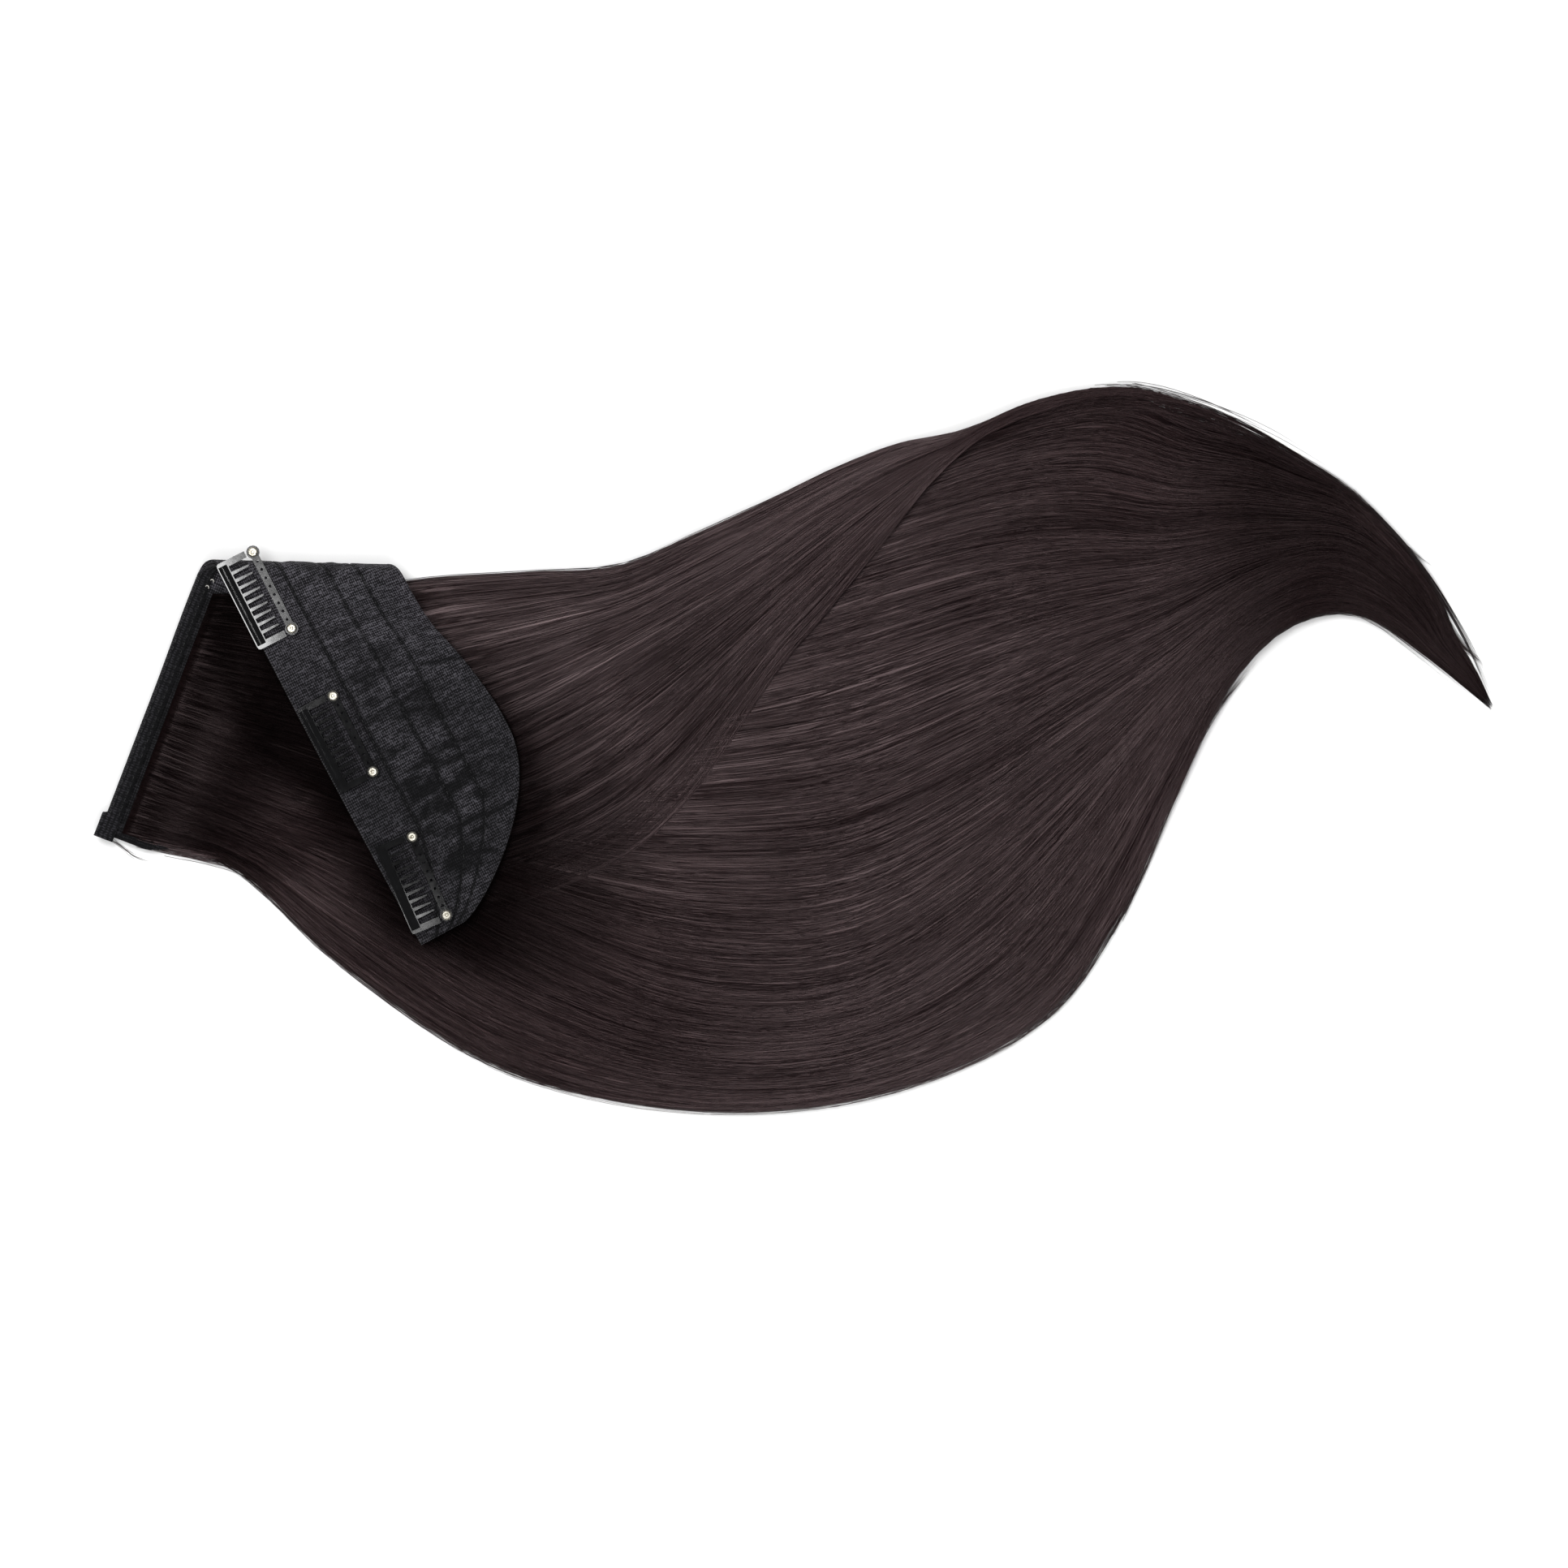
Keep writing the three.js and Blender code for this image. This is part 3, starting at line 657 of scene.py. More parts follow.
@dataclass(frozen=True)
class SheetMetal:
    """Stamped sheet metal with a coat or a plating.

    The eye sees a sharp gloss, slightly wavy where the coat has run or the stamping has bent the sheet,
    and fine scuffs that make it a little duller in spots.
    """

    name: str
    colour: str
    scuffed: str
    metallic: float
    roughness: float
    coat: float
    specular: float = 0.5
    spot_mm: float = 2.5
    dulled: float = 1.5
    coat_roughness: float = 0.05
    relief_mm: float = 0.05

    def material(self) -> bpy.types.Material:
        """The finish as a material.

        Returns:
            The material.
        """
        material, tree = new_material(self.name)
        places = add_node(tree, "ShaderNodeTexCoord")
        spots = add_node(
            tree,
            "ShaderNodeTexNoise",
            {"Scale": 1 / (self.spot_mm * MM), "Detail": 1.5, "Roughness": 0.5},
            {"Vector": places.outputs["Object"]},
        )
        spot = spots.outputs["Fac"]
        stops = ((0.45, self.colour), (0.75, self.scuffed))
        colour = add_node(tree, "ShaderNodeValToRGB", links={"Fac": spot}, stops=stops)
        dull = self.roughness * self.dulled
        limits = {"From Min": 0.35, "From Max": 0.75, "To Min": self.roughness, "To Max": dull}
        rough = add_node(tree, "ShaderNodeMapRange", limits, {"Value": spot})
        depth = {"Strength": 0.05, "Distance": self.relief_mm * MM}
        bump = add_node(tree, "ShaderNodeBump", depth, {"Height": spot})
        return coat_with(
            material,
            {
                "Metallic": self.metallic,
                "Coat Weight": self.coat,
                "Coat Roughness": self.coat_roughness,
                "Specular IOR Level": self.specular,
            },
            {
                "Base Color": colour.outputs["Color"],
                "Roughness": rough.outputs["Result"],
                "Normal": bump.outputs["Normal"],
            },
        )


@dataclass(frozen=True)
class TablePaper:
    """Smooth white paper, quite matt, that the extension lies on."""

    colour: str = "f6f6f6"
    roughness: float = 0.9
    specular: float = 0.1

    def material(self) -> bpy.types.Material:
        """The finish as a material.

        Returns:
            The material.
        """
        material, _ = new_material("matt_white_paper")
        values = {
            "Base Color": linear(self.colour),
            "Roughness": self.roughness,
            "Specular IOR Level": self.specular,
        }
        return coat_with(material, values, {})


# The base


@dataclass
class FoldedBase:
    """The D-shaped base cloth and how it is folded.

    A point of the flat cloth is s along the straight hem, d down from the hem and h into the hair side.
    The same measures and formulas made the solid.
    """

    width: float = 244.5
    end_depth: float = 16.0
    full_depth: float = 59.5
    corner: float = 50.0
    corner_fullness: float = 0.75
    middle_dip: float = 6.0
    dip_from: float = 52.0
    dip_to: float = 100.0
    wall: float = 1.2
    hem_bow: float = 1.3
    hem_corner: tuple[float, float] = (-228.8, -27.5)
    hem_angle: float = 69.1
    crease_point: tuple[float, float] = (-191.2, 57.4)
    crease_angle: float = 3.5
    crease_radius: float = 4.5
    crease_sag: float = 0.09
    crease_slip: float = 3.0
    crease_reach: float = 35.0
    folded_drop: float = 2.4
    folded_length: float = 137.0
    droop_from: float = 17.0
    droop_to: float = 45.0
    droop_crease_reach: float = 25.0
    clip_height: float = 2.3
    gap: float = 0.3
    hair_rest: float = 0.75
    hair_under_panel: float = 0.45
    hair_lets_go: tuple[float, float] = (4.0, 22.0)
    hair_past_hem: tuple[float, float] = (-26.0, -8.0)
    free_rise: float = 5.0

    def __post_init__(self) -> None:
        """Ways along the hem, down from it, along the crease and across it, and the crease's place."""
        hem, crease = math.radians(self.hem_angle), math.radians(self.crease_angle)
        self.hem_way = np.array([math.cos(hem), math.sin(hem)])
        self.depth_way = np.array([self.hem_way[1], -self.hem_way[0]])
        self.crease_way = np.array([math.cos(crease), math.sin(crease)])
        self.across = np.array([-self.crease_way[1], self.crease_way[0]])
        self.arc = math.pi * self.crease_radius
        self.centre_z = self.clip_height + self.crease_radius
        rise = float(self.hem_way @ self.across)
        self.skew = -float(self.depth_way @ self.across) / rise
        self.crease_start = -float(self.past(np.array(0.0), np.array(0.0))) / rise
        self.crease_end = self.crease_start + self.arc / rise

    def depth(self, s: np.ndarray) -> np.ndarray:
        """Depth of the D: short at its ends, a power of a sine at its corners, less in the middle.

        Args:
            s: distances along the hem.

        Returns:
            Depths.
        """
        end = np.minimum(s, self.width - s)
        corner = np.sin(np.pi / 2 * np.clip(end / self.corner, 0, 1)) ** self.corner_fullness
        dip = self.middle_dip * smoothstep(end, self.dip_from, self.dip_to)
        return self.end_depth + (self.full_depth - self.end_depth) * corner - dip

    def flat(self, s: np.ndarray, d: np.ndarray) -> np.ndarray:
        """Place of a point before the fold: the hem's corner, plus s and d along their ways."""
        return np.array(self.hem_corner) + s[..., None] * self.hem_way + d[..., None] * self.depth_way

    def past(self, s: np.ndarray, d: np.ndarray) -> np.ndarray:
        """How far a point of the flat cloth lies past the crease."""
        return (self.flat(s, d) - np.array(self.crease_point)) @ self.across

    def droop(self, d: np.ndarray, past: np.ndarray) -> np.ndarray:
        """How far the left half sinks from its clips to the table, away from the hem and the crease.

        Args:
            d: distances down from the hem.
            past: distances past the crease.

        Returns:
            Distances down.
        """
        full = self.clip_height - self.gap
        near_crease = smoothstep(-past, 0, self.droop_crease_reach)
        return full * smoothstep(d, self.droop_from, self.droop_to) * near_crease

    def place(self, s: np.ndarray, d: np.ndarray, h: np.ndarray) -> np.ndarray:
        """Place of a point of the cloth once it is folded round the half-round crease.

        Before the crease the cloth lies flat with its droop. In the crease it follows a half circle of
        the crease's radius less h. Past it, it comes back over itself and sinks slowly. Near the crease
        it sags along it, and it slips a little sideways as it is folded.

        Args:
            s: distances along the hem.
            d: distances down from the hem.
            h: distances into the hair side.

        Returns:
            Points with a last axis of three.
        """
        s, d, h = np.broadcast_arrays(*(np.asarray(a, float) for a in (s, d, h)))
        past = self.past(s, d)
        foot = self.flat(s, d) - past[..., None] * self.across
        along = (foot - np.array(self.crease_point)) @ self.crease_way
        radius = self.crease_radius - h
        beyond = past - self.arc
        share = np.clip(beyond / self.folded_length, 0, 1)
        turn = past / self.crease_radius
        before, after = past <= 0, past > self.arc
        offset = np.where(before, past, np.where(after, -beyond, radius * np.sin(turn)))
        z_before = self.centre_z - radius - self.droop(d, past)
        z_after = self.centre_z + radius - self.folded_drop * share
        z = np.where(before, z_before, np.where(after, z_after, self.centre_z - radius * np.cos(turn)))
        away = np.where(before, -past, np.where(after, beyond, 0.0))
        hold = 1 - smoothstep(away, 0, self.crease_reach)
        foot = foot + (offset - self.crease_sag * along * hold)[..., None] * self.across
        foot = foot + (self.crease_slip * smoothstep(past, 0, self.arc))[..., None] * self.crease_way
        foot = foot - (self.hem_bow * np.sin(np.pi * share))[..., None] * self.depth_way
        return np.concatenate([foot, z[..., None]], axis=-1)

    def columns(self, before: int, within: int, after: int) -> np.ndarray:
        """Starts of the columns along the hem: eased to its ends by sines, and even in the crease.

        Args:
            before: columns before the crease.
            within: columns in it.
            after: columns after it.

        Returns:
            Distances along the hem, one more than there are columns.
        """
        first = self.crease_start * (1 - np.cos(np.pi / 2 * np.arange(before) / before))
        crease = np.linspace(self.crease_start, self.crease_end, within, endpoint=False)
        ease = np.sin(np.pi / 2 * np.arange(after + 1) / after)
        return np.concatenate([first, crease, self.crease_end + (self.width - self.crease_end) * ease])

    def slanted(self, start: np.ndarray) -> tuple[np.ndarray, np.ndarray]:
        """Slant and depth of the columns, parallel to the crease where it folds and square at the ends.

        Args:
            start: starts of the columns along the hem.

        Returns:
            Move along the hem for each millimetre down, and the depth, of each column.
        """
        rest = (self.width - start) / (self.width - self.crease_end)
        to_end = np.clip(np.where(start < self.crease_start, start / self.crease_start, rest), 0, 1)
        slant = self.skew * to_end
        depth = self.depth(start)
        for _ in range(12):
            depth = (depth + self.depth(np.clip(start + slant * depth, 0, self.width))) / 2
        return slant, depth

    def under_lower_hair(self, x: np.ndarray, y: np.ndarray) -> np.ndarray:
        """Height that the lower hair rests at: the left half of the base, falling to the table round it.

        Args:
            x: places from left to right.
            y: places from the front to the back.

        Returns:
            Heights.
        """
        place = np.stack([x, y], -1) - np.array(self.hem_corner)
        s, d = place @ self.hem_way, place @ self.depth_way
        depth = self.depth(np.clip(s, 0, self.width))
        top = self.clip_height + self.wall + self.hair_rest - self.droop(d, self.past(s, d))
        fall = 1 - smoothstep(d - depth, *self.hair_lets_go)
        return top * fall * smoothstep(s, *self.hair_past_hem)

    def folded_ceiling(self, x: np.ndarray, y: np.ndarray) -> np.ndarray:
        """Underside of the folded half, rising away past the D's edge, where the hair is free.

        Args:
            x: places from left to right.
            y: places from the front to the back.

        Returns:
            Heights.
        """
        out = np.stack([x, y], -1) - np.array(self.crease_point)
        beyond = -(out @ self.across)
        flat = np.stack([x, y], -1) + (self.arc + 2 * beyond)[..., None] * self.across
        flat = flat - np.array(self.hem_corner)
        depth = self.depth(np.clip(flat @ self.hem_way, 0, self.width))
        share = np.clip(beyond / self.folded_length, 0, 1)
        top = self.centre_z + self.crease_radius - self.wall - self.hair_under_panel
        free = smoothstep(flat @ self.depth_way - depth, *self.hair_lets_go)
        return top - self.folded_drop * share + self.free_rise * free


@dataclass
class LaceCloth:
    """The base cloth as it shows: woven, sewn down in three rows, and gathered between them."""

    base: FoldedBase
    columns: tuple[int, int, int] = (110, 50, 180)
    rows: int = 84
    seam_depth: float = 0.5
    seam_half: float = 0.6
    gather: float = 0.5
    fine_gathers: float = 0.85
    broad_gathers: float = 0.3
    puckers: float = 0.32
    rim: float = 0.3
    rim_half: float = 0.8
    edge_round: float = 0.18
    edge_half: float = 0.35
    # Strengths of the painted shade: in the seams, in the hollows of the gathers, far from the crease and on
    # the left half; least_shade takes a little off all of it, and most_shade caps it
    seam_shade: float = 0.8
    hollow_shade: float = 0.6
    far_shade: float = 0.42
    left_shade: float = 0.7
    least_shade: float = -0.08
    most_shade: float = 0.93
    seams: tuple[tuple[float, float], ...] = ((18.0, 0.34), (31.6, 0.6), (41.5, 0.765))
    cross_seams: tuple[tuple[tuple[float, float], tuple[float, float]], ...] = (
        ((163.5, 43.8), (168.2, 57.0)),
        ((217.9, 37.9), (217.4, 49.0)),
        ((223.5, 22.7), (229.0, 37.0)),
    )

    def seam_distance(self, seam: tuple[float, float], depth: np.ndarray) -> np.ndarray:
        """How far a seam runs from the hem: its own distance, or its share of the depth if less."""
        return np.minimum(seam[0], seam[1] * depth)

    def relief(self, s: np.ndarray, d: np.ndarray, depth: np.ndarray) -> np.ndarray:
        """Bends of the whole cloth: gathers square to the seams, as noise drawn out down the cloth.

        The places of the noise wander a little, so that the gathers start and end at uneven depths.

        Args:
            s: distances along the hem.
            d: distances down from the hem.
            depth: depth of the D at each.

        Returns:
            Distances into the hair side.
        """
        rng = np.random.default_rng(11)
        wander = lattice_noise(rng, s / self.base.width, d / self.base.full_depth, (50, 3))
        u, v = (s + 1.5 * wander) / self.base.width, (d + 7 * wander) / self.base.full_depth
        gathers = self.fine_gathers * lattice_noise(rng, u, v, (118, 7))
        gathers = gathers + self.broad_gathers * lattice_noise(rng, u, v, (31, 5))
        puckers = self.puckers * lattice_noise(rng, u, v, (150, 30))
        outer = self.seam_distance(self.seams[-1], depth)
        free = smoothstep(d, 17.0, 22.0) * smoothstep(depth - d, 0.0, 3.0)
        free = free * (1 - 0.7 * smoothstep(d - outer, 0, 2))
        return self.gather * (gathers * free + puckers * (0.5 + 0.5 * free))

    def sewn(self, s: np.ndarray, d: np.ndarray, depth: np.ndarray) -> np.ndarray:
        """Nearness to the seams from 0 to 1: a bell curve across each row and each short cross seam.

        Args:
            s: distances along the hem.
            d: distances down from the hem.
            depth: depth of the D at each.

        Returns:
            Values from 0 to 1.
        """
        total = np.zeros_like(d)
        for seam in self.seams:
            away = d - self.seam_distance(seam, depth)
            total = np.maximum(total, np.exp(-((away / self.seam_half) ** 2)))
        for (s0, d0), (s1, d1) in self.cross_seams:
            run = np.array([s1 - s0, d1 - d0])
            t = np.clip(((s - s0) * run[0] + (d - d0) * run[1]) / (run @ run), 0, 1)
            away = np.hypot(s - s0 - t * run[0], d - d0 - t * run[1])
            total = np.maximum(total, 0.9 * np.exp(-((away / self.seam_half) ** 2)))
        return total

    def surface(self) -> Surface:
        """Both faces of the cloth on one grid of columns and rows, joined by a wall round its edge.

        Its edges are rounded, and the one away from the hem has a bead, both by bell curves. Painted shade
        makes it darker in its seams and hollows, far from the crease, which is lit more, and on the left
        half, which lies under the hair.

        Returns:
            The closed cloth.
        """
        start = self.base.columns(*self.columns)
        slant, depth = self.base.slanted(start)
        share = np.linspace(0, 1, self.rows + 1)
        d = depth[:, None] * share
        s = start[:, None] + slant[:, None] * d
        whole = np.broadcast_to(depth[:, None], d.shape)
        bend = self.relief(s, d, whole)
        sewn = self.sewn(s, d, whole)
        to_edge = np.minimum(d, whole - d)
        rounded = self.base.wall * self.edge_round * np.exp(-((to_edge / self.edge_half) ** 2))
        bead = self.rim * np.exp(-((to_edge / self.rim_half) ** 2)) * (d > whole / 2)
        clip_face = self.base.place(s, d, bend + self.seam_depth * sewn + rounded - bead)
        hair_face = self.base.place(s, d, self.base.wall + bend - rounded)
        past = self.base.past(s, d)
        # Painted shade: far from the crease, on the left half, in the seams and in the hollows
        away = self.far_shade * smoothstep(past - self.base.arc, 8, 60)
        away = away + self.left_shade * smoothstep(-past, 2, 10)
        hollow = self.hollow_shade * smoothstep(bend / self.gather, -0.55, 0.65)
        shade = self.least_shade + self.seam_shade * sewn + hollow + away
        shade = np.clip(shade, 0, self.most_shade)
        return closed_slab(hair_face, clip_face, np.stack([s, d], -1), shade)

    def area(self) -> float:
        """Flat area of the D in square metres, by the trapezoid rule.

        Returns:
            The area.
        """
        s = np.linspace(0, self.base.width, 2001)
        depth = self.base.depth(s)
        return float(((depth[1:] + depth[:-1]) / 2 * np.diff(s)).sum()) * MM * MM

    def build(self, finish: bpy.types.Material) -> bpy.types.Object:
        """The cloth as a piece that stands for its solid.

        Args:
            finish: its material.

        Returns:
            The piece.
        """
        piece = make_piece("folded_lace", self.surface(), finish)
        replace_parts(piece, "lace_base")
        return piece


@dataclass
class HemTape:
    """Woven tape sewn along the straight hem on the hair side, with two thin selvedges."""

    base: FoldedBase
    width: float = 5.2
    wall: float = 0.8
    lift: float = 0.3
    columns: tuple[int, int, int] = (150, 50, 200)
    rows: int = 12
    folded_end: float = 6.6
    end_step: float = 1.7
    end_past: float = 1.6
    end_rise: float = 0.3
    wave: float = 0.1
    # Painted shade: least at the outer edge, deeper towards the inner edge
    least_shade: float = 0.15
    inner_shade: float = 0.6

    def surface(self) -> Surface:
        """A ribbon whose edges are thinned to round ends, with a soft wave along it.

        Its low end is folded back on itself, so there it is thicker and stands out past the hem.

        Returns:
            The closed tape.
        """
        start = self.base.columns(*self.columns)
        share = np.linspace(0, 1, self.rows + 1)
        slant, depth = self.base.slanted(start)
        end = (1 - smoothstep(start, self.folded_end, self.folded_end + 0.8))[:, None]
        inner = np.minimum(self.width, 0.4 * depth)[:, None]
        outer = np.minimum(0.4, 0.02 * depth)[:, None] - self.end_step * end
        d = outer + (inner - outer) * share
        s = start[:, None] + slant[:, None] * d - self.end_past * (1 - smoothstep(start, 0, 3))[:, None]
        round_edge = np.sqrt(np.clip(1 - np.abs(2 * share - 1) ** 6, 0, 1))
        rng = np.random.default_rng(5)
        wave = self.wave * lattice_noise(rng, s / self.base.width, d / self.width, (60, 2))
        rise = self.end_rise * end
        middle = self.base.wall + self.lift + self.wall / 2 + wave * round_edge + rise
        half = self.wall / 2 * (0.35 + 0.65 * round_edge) + rise * round_edge
        outside = self.base.place(s, d, middle + half)
        inside = self.base.place(s, d, middle - half)
        # Painted shade, deeper towards the inner edge where the roots start, and weaker on the folded end
        shade = self.least_shade + self.inner_shade * smoothstep(share, 0.2, 1.0)
        return closed_slab(outside, inside, np.stack([s, d], -1), shade * (1 - 0.6 * end) + 0 * s)

    def build(self, finish: bpy.types.Material) -> bpy.types.Object:
        """The tape as a piece that stands for its solid.

        Args:
            finish: its material.

        Returns:
            The piece.
        """
        piece = make_piece("woven_hem_tape", self.surface(), finish)
        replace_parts(piece, "hem_tape")
        return piece


@dataclass
class Stitching:
    """Stitches along the seams of the base, each a short arched piece of thread.

    A tack is a loop at a place along the hem and down from it, on the hair side at 1 and on the clip
    side at -1.
    """

    base: FoldedBase
    cloth: LaceCloth
    pitch: float = 2.6
    length: float = 1.9
    thread: float = 0.17
    steps: int = 5
    margin: float = 4.0
    tape_rows: tuple[float, float] = (1.3, 4.2)
    tape_height: float = 1.1
    tacks: tuple[tuple[float, float, float], ...] = ((87.4, 4.6, 1.0), (90.0, 5.3, 1.0), (94.6, 4.2, -1.0))
    tack_half: tuple[float, float] = (0.8, 0.55)
    tack_turn: float = 0.9

    def row(
        self, seam: tuple[float, float], side: LaceSide, height: float, ends: tuple[float, float]
    ) -> np.ndarray:
        """Lines of the stitches of one row, arched like half a sine over the cloth.

        Args:
            seam: the seam's distance from the hem, and the most it may be as a share of the depth.
            side: face of the cloth that they show on.
            height: height of the cloth's face there, into the hair side.
            ends: first and last place along the hem.

        Returns:
            (stitches, steps, 3) points.
        """
        starts = np.arange(ends[0], ends[1] - self.length, self.pitch)
        t = np.linspace(0, 1, self.steps)
        s = starts[:, None] + t * self.length
        depth = self.base.depth(s)
        d = self.cloth.seam_distance(seam, depth) + 0 * s
        arch = height + side.value * (0.22 * np.sin(np.pi * t) - 0.08)
        return self.base.place(s, d, arch + 0 * s)

    def build(self, finish: bpy.types.Material) -> bpy.types.Object:
        """All the rows as one piece.

        Args:
            finish: its material.

        Returns:
            The piece.
        """
        wide = (self.margin, self.base.width - self.margin)
        rows = [self.row(seam, LaceSide.CLIPS, 0.3, wide) for seam in self.cloth.seams]
        tape_top = self.base.wall + self.tape_height
        rows += [self.row((d, 0.36), LaceSide.HAIR, tape_top, wide) for d in self.tape_rows]
        lines = np.concatenate(rows)
        surface = tubes(lines, np.array([[0.6, 1, 1, 1, 0.6]]) * self.thread, lines[:, 0, 0], 5)
        return make_piece("seam_stitches", surface, finish)

    def build_tacks(self, finish: bpy.types.Material) -> bpy.types.Object:
        """Loose loops of pale thread that tack the tape down at the crease, as one piece.

        Each is nearly half an ellipse about its place, arched like half a sine over its face.

        Args:
            finish: its material.

        Returns:
            The piece.
        """
        tacks = np.array(self.tacks)
        t = np.linspace(0, 1, 9)
        s = tacks[:, :1] + self.tack_half[0] * np.sin(np.pi * self.tack_turn * t)
        d = tacks[:, 1:2] + self.tack_half[1] * np.cos(np.pi * self.tack_turn * t)
        face = np.where(tacks[:, 2:] > 0, self.base.wall + 1.35, -0.3)
        arch = face + tacks[:, 2:] * 0.5 * np.sin(np.pi * t)
        surface = tubes(self.base.place(s, d, arch), np.full((1, 9), self.thread), tacks[:, 0], 6)
        return make_piece("tacking_threads", surface, finish)


# The hair


class HeightField:
    """Height of a surface over the table, on a square raster of cells."""

    def __init__(self, cell: float = 1.0, reach: tuple[float, float] = (245.0, 135.0)) -> None:
        """An empty raster, at height 0 everywhere."""
        self.cell = cell
        self.reach = reach
        self.heights = np.zeros((int(2 * reach[0] / cell) + 1, int(2 * reach[1] / cell) + 1))

    def add(self, points: np.ndarray) -> None:
        """Raises each cell to the highest point over it.

        Args:
            points: (..., 3) points in millimetres.
        """
        a = np.rint((points[..., 0].ravel() + self.reach[0]) / self.cell).astype(int)
        b = np.rint((points[..., 1].ravel() + self.reach[1]) / self.cell).astype(int)
        inside = (a >= 0) & (b >= 0) & (a < self.heights.shape[0]) & (b < self.heights.shape[1])
        np.maximum.at(self.heights, (a[inside], b[inside]), points[..., 2].ravel()[inside])

    def spread(self, cells: int) -> "HeightField":
        """A copy with each cell at the highest of those within a number of cells of it.

        Args:
            cells: number of cells.

        Returns:
            The copy.
        """
        wide = HeightField(self.cell, self.reach)
        wide.heights = self.heights.copy()
        for _ in range(cells):
            for axis in (0, 1):
                h = wide.heights
                wide.heights = np.maximum(h, np.maximum(np.roll(h, 1, axis), np.roll(h, -1, axis)))
        return wide

    def smooth(self, rounds: int) -> "HeightField":
        """A copy averaged with its neighbours, in weights of 1, 2 and 1, a number of times.

        Args:
            rounds: number of times.

        Returns:
            The copy.
        """
        soft = HeightField(self.cell, self.reach)
        soft.heights = self.heights.copy()
        for _ in range(rounds):
            for axis in (0, 1):
                h = soft.heights
                soft.heights = (2 * h + np.roll(h, 1, axis) + np.roll(h, -1, axis)) / 4
        return soft

    def at(self, x: np.ndarray, y: np.ndarray) -> np.ndarray:
        """Heights at places."""
        return sample_grid(self.heights, (x + self.reach[0]) / self.cell, (y + self.reach[1]) / self.cell)


